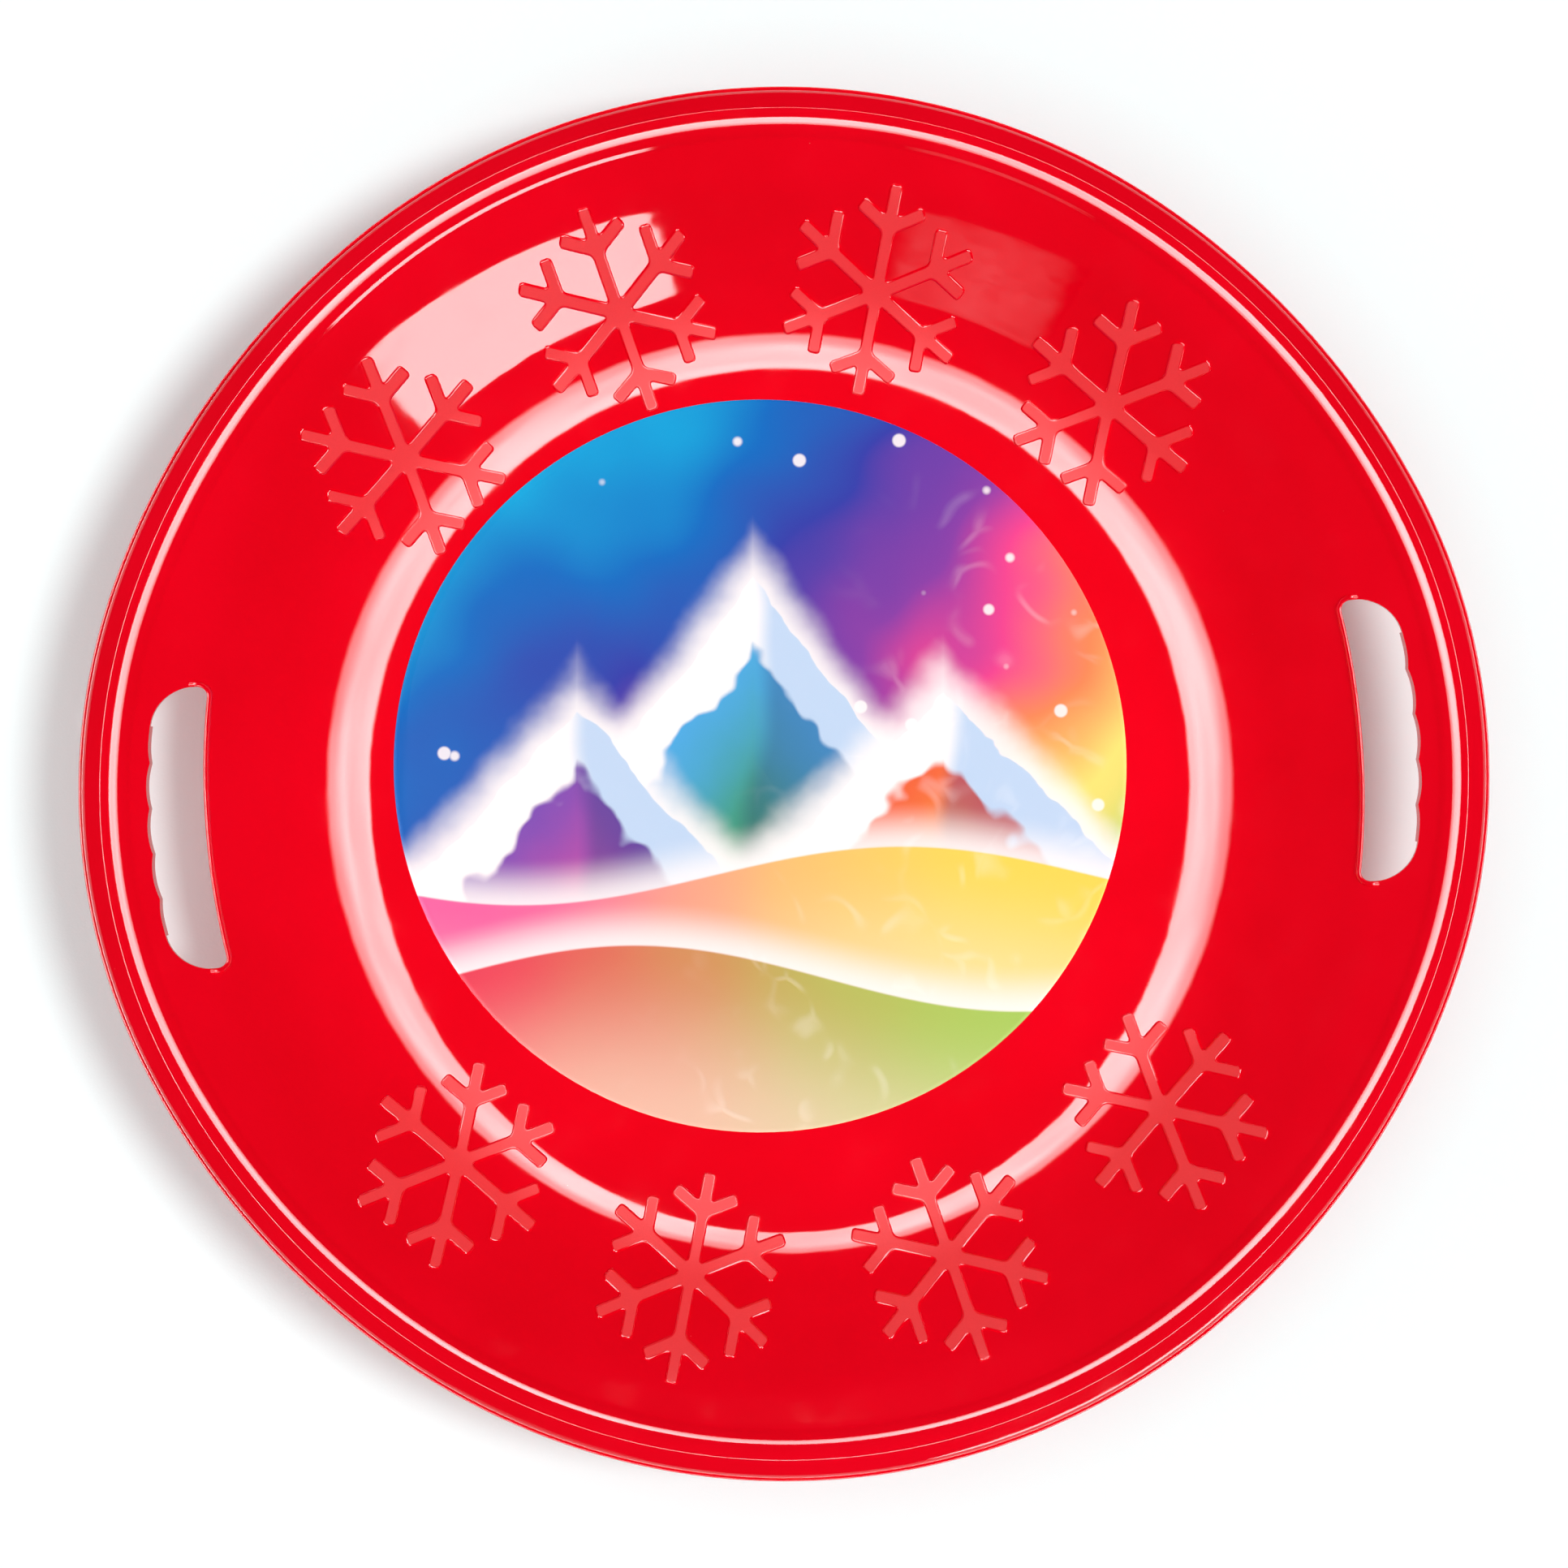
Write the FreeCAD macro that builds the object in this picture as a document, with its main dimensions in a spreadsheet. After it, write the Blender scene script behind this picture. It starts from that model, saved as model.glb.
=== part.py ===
import FreeCAD
import Part
import Sketcher
import math
import os

from FreeCAD import Vector

# Saucer sled in millimetres, +Z up, origin on the ground under the middle of the dish.
# X runs through the two hand slots. The dish is one moulding: a bowl turned about Z, a rolled rim that
# follows a plan of four gentle lobes, a flatter shelf between bowl and rim, two hand slots with finger
# grips, and eight raised snowflakes. A round label, film on adhesive, is stuck to its floor.

DIMENSIONS = {
    # Plan of the outer edge: radius at the four dips, and how much further out the lobes reach
    "rim_radius": 294.3,
    "handle_reach": 6.0,
    "front_reach": 2.5,
    "side_centre_shift": 41.0,
    # Bowl
    "wall": 2.5,
    "floor_radius": 176.0,
    "floor_fillet": 50.0,
    "wall_angle": 44.0,
    # Shelf and rolled rim
    "shelf_angle": 33.5,
    "shelf_least_width": 3.8,
    "bead_width": 28.5,
    "bead_height": 10.0,
    "bead_radius": 14.5,
    "bead_crest_inset": 13.5,
    "bead_foot_fillet": 10.0,
    "edge_lip_width": 2.0,
    "edge_lip_drop": 9.0,
    # Hand slots
    "slot_length": 121.0,
    "slot_width": 23.0,
    "slot_rim_inset": 28.7,
    "slot_inner_arc": 311.0,
    "slot_inner_corner": 4.0,
    "slot_outer_corner": 19.5,
    "slot_lip_width": 1.7,
    "slot_lip_height": 1.2,
    "slot_lip_return": 5.0,
    # Finger grips on the outer side of each slot
    "finger_pitch": 19.5,
    "finger_hollow_radius": 35.0,
    "grip_drop": 10.0,
    "grip_wall": 2.5,
    # Snowflakes
    "flake_spacing_angle": 30.0,
    "flake_mouth_clearance": 2.0,
    "flake_floor_overlap": 2.0,
    "flake_gap": 5.0,
    "flake_branch_angle": 60.0,
    "flake_height": 0.9,
    # Shares of a snowflake's own reach
    "flake_arm_share": 0.1116,
    "flake_hub_share": 0.256,
    "flake_branch_start_share": 0.605,
    "flake_branch_share": 0.372,
    # Label
    "label_offset_x": -9.9,
    "label_offset_y": 8.7,
    "label_edge_clearance": 1.8,
    "label_film_thickness": 0.25,
    "label_adhesive_thickness": 0.1,
}

# A round takes at most this share of the largest that fits where it is
FILLET_FIT = 0.95
CORNER_FIT = 0.98

# Values that follow from the dimensions, in the order in which they build on each other
DERIVED = {
    "handle_tip": "dims.rim_radius + dims.handle_reach",
    "front_tip": "dims.rim_radius + dims.front_reach",
    "side_arc": "dims.rim_radius + dims.side_centre_shift",
    "side_centre": "dims.side_centre_shift / sqrt(2)",
    "handle_centre": "(2 * dims.side_centre_shift * dims.handle_reach - dims.handle_reach ^ 2)"
    " / ((2 - sqrt(2)) * dims.side_centre_shift - 2 * dims.handle_reach)",
    "front_centre": "(2 * dims.side_centre_shift * dims.front_reach - dims.front_reach ^ 2)"
    " / ((2 - sqrt(2)) * dims.side_centre_shift - 2 * dims.front_reach)",
    "handle_arc": "handle_tip - handle_centre",
    "front_arc": "front_tip - front_centre",
    "wall_slope": "tan(dims.wall_angle * 1 deg)",
    "shelf_slope": "tan(dims.shelf_angle * 1 deg)",
    "mouth_radius": "dims.rim_radius - dims.bead_width - dims.shelf_least_width",
    # The shelf is widest at the handles. Its section ends a wall past where its underside meets the bowl
    "shelf_depth": "dims.wall / cos(dims.shelf_angle * 1 deg)",
    "shelf_drop": "dims.handle_reach * wall_slope + dims.shelf_least_width * (wall_slope - shelf_slope)",
    "shelf_run": "(shelf_drop + shelf_depth) / (wall_slope - shelf_slope) + dims.wall",
    "shelf_end_radius": "handle_tip - dims.bead_width - shelf_run",
    # The floor's round ends before the shelf's section does
    "floor_round_limit": "(shelf_end_radius - dims.floor_radius) / sin(dims.wall_angle * 1 deg)",
    "floor_round": f"min(dims.floor_fillet; {FILLET_FIT} * floor_round_limit)",
    "wall_foot_radius": "dims.floor_radius + floor_round * sin(dims.wall_angle * 1 deg)",
    "wall_foot_height": "dims.wall + floor_round * (1 - cos(dims.wall_angle * 1 deg))",
    "mouth_height": "wall_foot_height + (mouth_radius - wall_foot_radius) * wall_slope",
    "foot_height": "mouth_height + dims.shelf_least_width * shelf_slope",
    "crest_height": "foot_height + dims.bead_height",
    "edge_lip_height": "crest_height - dims.edge_lip_drop",
    "bead_centre_x": "handle_tip - dims.bead_crest_inset",
    "bead_centre_height": "crest_height - dims.bead_radius",
    # The bowl's wall is turned a little past the shelf, and cuts reach a little past the rim
    "trim_radius": "mouth_radius + dims.shelf_least_width / 2",
    "trim_height": "mouth_height + dims.shelf_least_width / 2 * wall_slope",
    "block_height": "crest_height + dims.bead_radius / 2",
    "clear_height": "crest_height + dims.bead_radius",
    "slot_outer_arc": "handle_arc - dims.slot_rim_inset",
    "slot_inner_x": "handle_tip - dims.slot_rim_inset - dims.slot_width",
    "slot_inner_centre": "slot_inner_x - dims.slot_inner_arc",
    "grip_base": "foot_height - dims.grip_drop",
    # The snowflakes span the wall, and leave a gap between neighbours
    "flake_top_radius": "mouth_radius - dims.flake_mouth_clearance",
    "flake_foot_radius": "dims.floor_radius - dims.flake_floor_overlap",
    "flake_circle_radius": "(flake_top_radius + flake_foot_radius) / 2",
    "flake_row_room": "flake_circle_radius * sin(dims.flake_spacing_angle / 2 * 1 deg)",
    "flake_reach": "min((flake_top_radius - flake_foot_radius) / 2; flake_row_room - dims.flake_gap / 2)",
    "flake_arm_width": "dims.flake_arm_share * flake_reach",
    "flake_hub_width": "dims.flake_hub_share * flake_reach",
    "flake_branch_start": "dims.flake_branch_start_share * flake_reach",
    "flake_branch_length": "dims.flake_branch_share * flake_reach",
    "label_radius": "dims.floor_radius - dims.label_edge_clearance"
    " - sqrt(dims.label_offset_x ^ 2 + dims.label_offset_y ^ 2)",
    "label_film_base": "dims.wall + dims.label_adhesive_thickness",
}

RIGHT_ANGLE = math.pi / 2
SIDES = (1, -1)
FLAKE_ARMS = 6
FLAKES_IN_ROW = 4

doc = FreeCAD.newDocument("saucer_sled")
sheet = doc.addObject("Spreadsheet::Sheet", "dims")
for row, (alias, number) in enumerate(DIMENSIONS.items(), start=1):
    sheet.set(f"A{row}", alias.replace("_", " "))
    sheet.set(f"B{row}", str(number))
    sheet.setAlias(f"B{row}", alias)
doc.recompute()

derived = doc.addObject("App::VarSet", "derived")
for alias, formula in DERIVED.items():
    derived.addProperty("App::PropertyFloat", alias, "Derived")
    derived.setExpression(alias, formula)
doc.recompute()


def size(alias):
    """Return a dimension or derived value as a number."""
    return float(getattr(derived if alias in DERIVED else sheet, alias))


def polar(centre, radius, angle):
    """Return the point at an angle on a circle."""
    return (centre[0] + radius * math.cos(angle), centre[1] + radius * math.sin(angle))


def angle_to(centre, point):
    """Return the direction from a centre to a point."""
    return math.atan2(point[1] - centre[1], point[0] - centre[0])


class Outline:
    """A closed run of lines and arcs drawn in a sketch, each joined to the one before it.

    With side -1 it is drawn mirrored across the sketch's vertical axis.
    """

    def __init__(self, sketch, side=1):
        self.sketch = sketch
        self.side = side
        self.ends = []

    def line(self, start, end):
        """Draw a straight segment and return its number."""
        points = [Vector(self.side * x, y, 0) for x, y in (start, end)]
        return self.keep(Part.LineSegment(*points), (1, 2))

    def arc(self, centre, radius, start, end):
        """Draw an arc from one angle to another, either way round, and return its number."""
        if self.side < 0:
            start = math.pi - start
            end = math.pi - end
        circle = Part.Circle(Vector(self.side * centre[0], centre[1], 0), Vector(0, 0, 1), radius)
        if end > start:
            return self.keep(Part.ArcOfCircle(circle, start, end), (1, 2))
        return self.keep(Part.ArcOfCircle(circle, end, start), (2, 1))

    def keep(self, segment, positions):
        """Add a segment to the sketch, noting which of its ends comes first."""
        number = self.sketch.addGeometry(segment, False)
        self.ends.append((number, *positions))
        return number

    def close(self, smooth=()):
        """Join all the segments in a ring, with a tangent joint after each one listed in smooth."""
        for before, after in zip(self.ends, self.ends[1:] + self.ends[:1]):
            kind = "Tangent" if before[0] in smooth else "Coincident"
            joint = Sketcher.Constraint(kind, before[0], before[2], after[0], after[1])
            self.sketch.addConstraint(joint)


def bind(sketch, name, formula, kind, *where):
    """Add a dimension to a sketch and bind it to a formula of the sheet."""
    number = sketch.addConstraint(Sketcher.Constraint(kind, *where))
    sketch.renameConstraint(number, name)
    sketch.setExpression(f"Constraints.{name}", formula)


def align(sketch, kind, *lines):
    """Keep lines of a sketch horizontal or vertical."""
    for line in lines:
        sketch.addConstraint(Sketcher.Constraint(kind, line))


def add_body(label):
    """Make an empty body."""
    body = doc.addObject("PartDesign::Body", label)
    body.Label = label
    return body


def add_sketch(body, name, role, height=None):
    """Make a sketch on one of its body's origin planes, raised to a derived height if one is named."""
    sketch = body.newObject("Sketcher::SketchObject", name)
    plane = next(item for item in body.Origin.OriginFeatures if item.Role == role)
    sketch.AttachmentSupport = (plane, [""])
    sketch.MapMode = "FlatFace"
    if height:
        sketch.setExpression("AttachmentOffset.Base.z", f"derived.{height}")
    return sketch


def add_pad(body, sketch, name, length):
    """Raise a sketch into a solid of a length that follows a formula."""
    pad = body.newObject("PartDesign::Pad", name)
    pad.Profile = sketch
    pad.setExpression("Length", length)
    return pad


def add_turn(body, sketch, kind, name):
    """Turn a sketch once about its vertical axis."""
    turn = body.newObject(f"PartDesign::{kind}", name)
    turn.Profile = sketch
    turn.ReferenceAxis = (sketch, ["V_Axis"])
    turn.Angle = 360


def bowl_side(outline, under, top):
    """Draw the floor, fillet and wall of the bowl's section up to a top point.

    under is 1 for the outer surface, which lies a wall's thickness outside the inner one, and else 0.
    """
    sketch = outline.sketch
    angle = math.radians(size("wall_angle"))
    floor = size("floor_radius")
    radius = size("floor_round") + under * size("wall")
    centre = (floor, size("wall") + size("floor_round"))
    base = centre[1] - radius
    bottom = outline.line((0, base), (floor, base))
    fillet = outline.arc(centre, radius, -RIGHT_ANGLE, angle - RIGHT_ANGLE)
    side = outline.line(polar(centre, radius, angle - RIGHT_ANGLE), top)
    align(sketch, "Horizontal", bottom)
    bind(sketch, "floor_radius", "dims.floor_radius", "DistanceX", bottom, 1, bottom, 2, floor)
    bind(sketch, "fillet", f"derived.floor_round + {under} * dims.wall", "Radius", fillet, radius)
    bind(sketch, "wall_angle", "dims.wall_angle * 1 deg", "Angle", side, angle)
    return bottom, fillet, side


def add_bowl_block():
    """Turn the bowl's outer form as a solid up to just past where its wall meets the shelf."""
    sketch = add_sketch(moulding, "bowl_section", "XZ_Plane")
    top = size("trim_height")
    radius = size("trim_radius") + size("wall") / math.sin(math.radians(size("wall_angle")))
    outline = Outline(sketch)
    bottom, fillet, _ = bowl_side(outline, 1, (radius, top))
    cap = outline.line((radius, top), (0, top))
    axis = outline.line((0, top), (0, 0))
    outline.close(smooth=(bottom, fillet))
    align(sketch, "Horizontal", cap)
    align(sketch, "Vertical", axis)
    sketch.addConstraint(Sketcher.Constraint("Coincident", bottom, 1, -1, 1))
    bind(sketch, "top", "derived.trim_height", "DistanceY", -1, 1, cap, 2, top)
    add_turn(moulding, sketch, "Revolution", "bowl_block")


def add_bowl_hollow():
    """Turn the inside of the bowl out of the moulding."""
    sketch = add_sketch(moulding, "bowl_hollow_section", "XZ_Plane")
    mouth = (size("trim_radius"), size("trim_height"))
    clear = size("clear_height")
    outline = Outline(sketch)
    bottom, fillet, side = bowl_side(outline, 0, mouth)
    neck = outline.line(mouth, (mouth[0], clear))
    cap = outline.line((mouth[0], clear), (0, clear))
    axis = outline.line((0, clear), (0, size("wall")))
    outline.close(smooth=(bottom, fillet))
    align(sketch, "Horizontal", cap)
    align(sketch, "Vertical", neck, axis)
    sketch.addConstraint(Sketcher.Constraint("PointOnObject", axis, 1, -2))
    bind(sketch, "wall", "dims.wall", "DistanceY", -1, 1, bottom, 1, size("wall"))
    bind(sketch, "mouth", "derived.trim_radius", "DistanceX", -1, 1, side, 2, mouth[0])
    bind(sketch, "top", "derived.clear_height", "DistanceY", -1, 1, cap, 2, clear)
    add_turn(moulding, sketch, "Groove", "bowl_hollow")


def rim_path(name):
    """Draw the plan of the outer edge: four lobes on the X and Y axes, joined by flatter arcs."""
    sketch = add_sketch(moulding, name, "XY_Plane")
    shift = size("side_centre")
    handle = size("handle_centre")
    front = size("front_centre")
    handle_half = math.atan2(shift, handle + shift)
    front_half = math.atan2(shift, front + shift)
    lobes = [
        ((handle, 0), handle_half, "handle"),
        ((0, front), front_half, "front"),
        ((-handle, 0), handle_half, "handle"),
        ((0, -front), front_half, "front"),
    ]
    sides = [(-shift, -shift), (shift, -shift), (shift, shift), (-shift, shift)]
    outline = Outline(sketch)
    arcs = []
    for quarter, (centre, half, kind) in enumerate(lobes):
        turn = quarter * RIGHT_ANGLE
        next_half = lobes[(quarter + 1) % len(lobes)][1]
        lobe_start = turn - half if quarter else 0
        side_end = turn + RIGHT_ANGLE - next_half
        arcs.append((kind, outline.arc(centre, size(f"{kind}_arc"), lobe_start, turn + half)))
        arcs.append(("side", outline.arc(sides[quarter], size("side_arc"), turn + half, side_end)))
    arcs.append(("handle", outline.arc(lobes[0][0], size("handle_arc"), -handle_half, 0)))
    outline.close(smooth=[number for _, number in arcs])
    for kind, number in arcs:
        bind(sketch, f"{kind}_{number}", f"derived.{kind}_arc", "Radius", number, size(f"{kind}_arc"))
    sketch.addConstraint(Sketcher.Constraint("PointOnObject", arcs[0][1], 1, -1))
    return sketch


def rim_outline(sketch, under, edge, top):
    """Draw the rim's section: lip, bead, hollow foot fillet and shelf, closed by a box above them.

    under is 1 for the lower surface, which lies a wall's thickness inside the upper one, and else 0.
    edge is where the section ends outside, and top the height of the box.
    """
    offset = under * size("wall")
    shelf = math.radians(size("shelf_angle"))
    along = Vector(math.cos(shelf), math.sin(shelf), 0)
    normal = Vector(-math.sin(shelf), math.cos(shelf), 0)
    foot = Vector(size("handle_tip") - size("bead_width"), size("foot_height"), 0)
    bead = Vector(size("bead_centre_x"), size("bead_centre_height"), 0)
    foot_fillet = size("bead_foot_fillet")
    between = size("bead_radius") + foot_fillet
    drop = (bead - foot).dot(normal) - foot_fillet
    run = (bead - foot).dot(along) - math.sqrt(between ** 2 - drop ** 2)
    hollow = foot + along * run + normal * foot_fillet
    bead_end = angle_to(bead, hollow)
    bead_radius = size("bead_radius") - offset
    hollow_radius = foot_fillet + offset
    step_x = size("handle_tip") - size("edge_lip_width") - offset
    lip = size("edge_lip_height") - offset
    bead_start = math.acos((step_x - bead.x) / bead_radius)
    shelf_start = polar(hollow, hollow_radius, shelf - RIGHT_ANGLE)
    shelf_left = size("shelf_end_radius")
    shelf_end = (shelf_left, shelf_start[1] - (shelf_start[0] - shelf_left) * size("shelf_slope"))

    outline = Outline(sketch)
    lip_line = outline.line((edge, lip), (step_x, lip))
    step = outline.line((step_x, lip), polar(bead, bead_radius, bead_start))
    bead_arc = outline.arc(bead[:2], bead_radius, bead_start, bead_end)
    hollow_arc = outline.arc(hollow[:2], hollow_radius, bead_end - math.pi, shelf - RIGHT_ANGLE)
    shelf_line = outline.line(shelf_start, shelf_end)
    rise = outline.line(shelf_end, (shelf_end[0], top))
    cap = outline.line((shelf_end[0], top), (edge, top))
    side = outline.line((edge, top), (edge, lip))
    outline.close(smooth=(bead_arc, hollow_arc))
    align(sketch, "Horizontal", lip_line, cap)
    align(sketch, "Vertical", step, rise, side)
    bind(sketch, "bead", f"dims.bead_radius - {under} * dims.wall", "Radius", bead_arc, bead_radius)
    hollow_formula = f"dims.bead_foot_fillet + {under} * dims.wall"
    bind(sketch, "hollow", hollow_formula, "Radius", hollow_arc, hollow_radius)
    bind(sketch, "bead_x", "derived.bead_centre_x", "DistanceX", -1, 1, bead_arc, 3, bead.x)
    bind(sketch, "bead_height", "derived.bead_centre_height", "DistanceY", -1, 1, bead_arc, 3, bead.y)
    lip_formula = f"derived.edge_lip_height - {under} * dims.wall"
    bind(sketch, "lip", lip_formula, "DistanceY", -1, 1, lip_line, 2, lip)


def add_rim(kind, name, under, edge, top):
    """Sweep the rim's upper or lower form round the outer edge."""
    path = rim_path(f"{name}_path")
    sketch = add_sketch(moulding, f"{name}_section", "XZ_Plane")
    rim_outline(sketch, under, edge, top)
    sweep = moulding.newObject(f"PartDesign::{kind}", name)
    sweep.Profile = sketch
    sweep.Spine = path


class HandSlot:
    """The plan of one hand slot, worked out on the +X side."""

    def __init__(self):
        self.half = size("slot_length") / 2
        self.outer = (size("handle_centre"), 0)
        self.outer_arc = size("slot_outer_arc")
        self.inner = (size("slot_inner_centre"), 0)
        self.inner_arc = size("slot_inner_arc")
        self.inner_corner = size("slot_inner_corner")
        corner_y = self.half - self.inner_corner
        corner_x = math.sqrt((self.inner_arc + self.inner_corner) ** 2 - corner_y ** 2)
        self.inner_corner_at = (self.inner[0] + corner_x, corner_y)
        self.inner_end = math.atan2(corner_y, corner_x)
        room = self.outer_arc ** 2 - (self.inner_corner_at[0] - self.outer[0]) ** 2 - self.half ** 2
        largest = room / (2 * (self.outer_arc - self.half))
        self.outer_corner = min(size("slot_outer_corner"), CORNER_FIT * largest)
        corner_y = self.half - self.outer_corner
        corner_x = math.sqrt((self.outer_arc - self.outer_corner) ** 2 - corner_y ** 2)
        self.outer_corner_at = (self.outer[0] + corner_x, corner_y)
        self.outer_end = math.atan2(corner_y, corner_x)

    def draw_fingers(self, outline):
        """Draw the outer edge upwards: hollows for the fingers with points between them."""
        pitch = size("finger_pitch") / self.outer_arc
        radius = size("finger_hollow_radius")
        ring = self.outer_arc - radius
        row = math.floor(self.outer_end / pitch)
        middle = ring * math.cos(pitch / 2)
        point_ring = middle + math.sqrt(radius ** 2 - (ring * math.sin(pitch / 2)) ** 2)
        outline.arc(self.outer, self.outer_arc, -self.outer_end, -row * pitch)
        for hollow in range(-row, row + 1 if row else -row):
            centre = polar(self.outer, ring, hollow * pitch)
            start = angle_to(centre, polar(self.outer, point_ring, (hollow - 0.5) * pitch))
            end = angle_to(centre, polar(self.outer, point_ring, (hollow + 0.5) * pitch))
            if hollow == -row:
                start = hollow * pitch
            if hollow == row:
                end = hollow * pitch
            outline.arc(centre, radius, start, end)
        outline.arc(self.outer, self.outer_arc, row * pitch, self.outer_end)

    def draw(self, sketch, side):
        """Draw the whole slot."""
        outline = Outline(sketch, side)
        x_in, y_in = self.inner_corner_at
        x_out, y_out = self.outer_corner_at
        self.draw_fingers(outline)
        outline.arc((x_out, y_out), self.outer_corner, self.outer_end, RIGHT_ANGLE)
        outline.line((x_out, self.half), (x_in, self.half))
        outline.arc((x_in, y_in), self.inner_corner, RIGHT_ANGLE, math.pi + self.inner_end)
        inner = outline.arc(self.inner, self.inner_arc, self.inner_end, -self.inner_end)
        outline.arc((x_in, -y_in), self.inner_corner, math.pi - self.inner_end, math.pi + RIGHT_ANGLE)
        outline.line((x_in, -self.half), (x_out, -self.half))
        outline.arc((x_out, -y_out), self.outer_corner, -RIGHT_ANGLE, -self.outer_end)
        outline.close()
        bind(sketch, f"inner_arc_{inner}", "dims.slot_inner_arc", "Radius", inner, self.inner_arc)

    def draw_lip(self, sketch, side):
        """Draw the band that the raised lip covers, on the slot's inner edge and round its corners."""
        width = size("slot_lip_width")
        x_in, y_in = self.inner_corner_at
        x_end = x_in + size("slot_lip_return")
        reach = self.half + width
        corner = self.inner_corner + width
        outline = Outline(sketch, side)
        outline.line((x_end, -reach), (x_end, reach))
        outline.line((x_end, reach), (x_in, reach))
        outline.arc((x_in, y_in), corner, RIGHT_ANGLE, math.pi + self.inner_end)
        inner = outline.arc(self.inner, self.inner_arc - width, self.inner_end, -self.inner_end)
        outline.arc((x_in, -y_in), corner, math.pi - self.inner_end, math.pi + RIGHT_ANGLE)
        outline.line((x_in, -reach), (x_end, -reach))
        outline.close()
        formula = "dims.slot_inner_arc - dims.slot_lip_width"
        bind(sketch, f"inner_arc_{inner}", formula, "Radius", inner, self.inner_arc - width)

    def draw_grip(self, sketch, side):
        """Draw the band of the grip's skirt, which the slot's fingers are cut into."""
        wall = size("grip_wall")
        end = self.outer_end
        near = self.outer_arc - wall
        far = self.outer_arc + wall
        outline = Outline(sketch, side)
        outline.arc(self.outer, near, end, -end)
        outline.line(polar(self.outer, near, -end), polar(self.outer, far, -end))
        outer = outline.arc(self.outer, far, -end, end)
        outline.line(polar(self.outer, far, end), polar(self.outer, near, end))
        outline.close()
        formula = "derived.slot_outer_arc + dims.grip_wall"
        bind(sketch, f"outer_arc_{outer}", formula, "Radius", outer, far)


def add_pair(body, name, draw, length, height=None):
    """Pad a plan drawn once on each side of the dish."""
    sketch = add_sketch(body, f"{name}_plan", "XY_Plane", height)
    for side in SIDES:
        draw(sketch, side)
    add_pad(body, sketch, name, length)


def flake_arm(sketch):
    """Draw one arm of a snowflake along X, with its two side branches."""
    half = size("flake_arm_width") / 2
    lean = math.radians(size("flake_branch_angle"))
    start = size("flake_branch_start")
    near = start - half / math.sin(lean) + half / math.tan(lean)
    far = start + half / math.sin(lean) + half / math.tan(lean)
    tip = polar((start, 0), size("flake_branch_length"), lean)
    upper = [
        (size("flake_reach"), half),
        (far, half),
        polar(tip, half, lean - RIGHT_ANGLE),
        polar(tip, half, lean + RIGHT_ANGLE),
        (near, half),
        (0, half),
    ]
    lower = [(x, -y) for x, y in reversed(upper)]
    points = upper + lower
    outline = Outline(sketch)
    lines = [outline.line(*pair) for pair in zip(points, points[1:] + points[:1])]
    outline.close()
    tip_line = lines[-1]
    bind(sketch, "reach", "derived.flake_reach", "DistanceX", -1, 1, tip_line, 2, size("flake_reach"))
    bind(sketch, "width", "derived.flake_arm_width", "DistanceY", tip_line, 1, tip_line, 2, 2 * half)


def add_flake_stamp():
    """Make one upright snowflake: an arm, its copies round the hub, and the hub."""
    body = add_body("flake_stamp")
    sketch = add_sketch(body, "flake_arm", "XY_Plane")
    flake_arm(sketch)
    arm = add_pad(body, sketch, "flake_arm_pad", "derived.clear_height")
    doc.recompute()
    ring = body.newObject("PartDesign::PolarPattern", "flake_arms")
    ring.Originals = [arm]
    ring.Axis = (sketch, ["N_Axis"])
    ring.Angle = 360
    ring.Occurrences = FLAKE_ARMS
    body.Tip = ring
    hub = add_sketch(body, "flake_hub", "XY_Plane")
    corner = size("flake_hub_width") / math.sqrt(3)
    corners = [polar((0, 0), corner, math.tau * step / FLAKE_ARMS) for step in range(FLAKE_ARMS)]
    outline = Outline(hub)
    lines = [outline.line(*pair) for pair in zip(corners, corners[1:] + corners[:1])]
    outline.close()
    bind(hub, "side", "derived.flake_hub_width / sqrt(3)", "Distance", lines[0], corner)
    add_pad(body, hub, "flake_hub_pad", "derived.clear_height")
    return body


def add_flakes(stamp):
    """Place a row of snowflakes round the front and one round the back, every outer one turned."""
    copies = []
    for side in SIDES:
        for place in range(FLAKES_IN_ROW):
            copy = doc.addObject("App::Link", f"flake_{len(copies) + 1}")
            copy.LinkedObject = stamp
            step = place - (FLAKES_IN_ROW - 1) / 2
            direction = f"({side * 90} + {step} * dims.flake_spacing_angle) * 1 deg"
            outer = place in (0, FLAKES_IN_ROW - 1)
            turn = 180 / FLAKE_ARMS if outer else 0
            copy.setExpression("Placement.Base.x", f"derived.flake_circle_radius * cos({direction})")
            copy.setExpression("Placement.Base.y", f"derived.flake_circle_radius * sin({direction})")
            copy.setExpression("Placement.Rotation.Angle", f"{direction} + {turn} deg")
            copies.append(copy)
    ring = doc.addObject("Part::Compound", "flake_ring")
    ring.Links = copies
    return ring


def add_relief(name, stamp, lift):
    """Raise the dish's own surface by a height, inside a stamp's outline."""
    lifted = doc.addObject("App::Link", f"{name}_surface")
    lifted.LinkedObject = moulding
    lifted.setExpression("Placement.Base.z", lift)
    relief = doc.addObject("Part::Common", name)
    relief.Base = lifted
    relief.Tool = stamp
    return relief


def add_disc(label, base, thickness):
    """Make one round layer of the label."""
    disc = doc.addObject("Part::Cylinder", label)
    disc.Label = label
    disc.setExpression("Radius", "derived.label_radius")
    disc.setExpression("Height", thickness)
    disc.setExpression("Placement.Base.x", "dims.label_offset_x")
    disc.setExpression("Placement.Base.y", "dims.label_offset_y")
    disc.setExpression("Placement.Base.z", base)
    return disc


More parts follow.
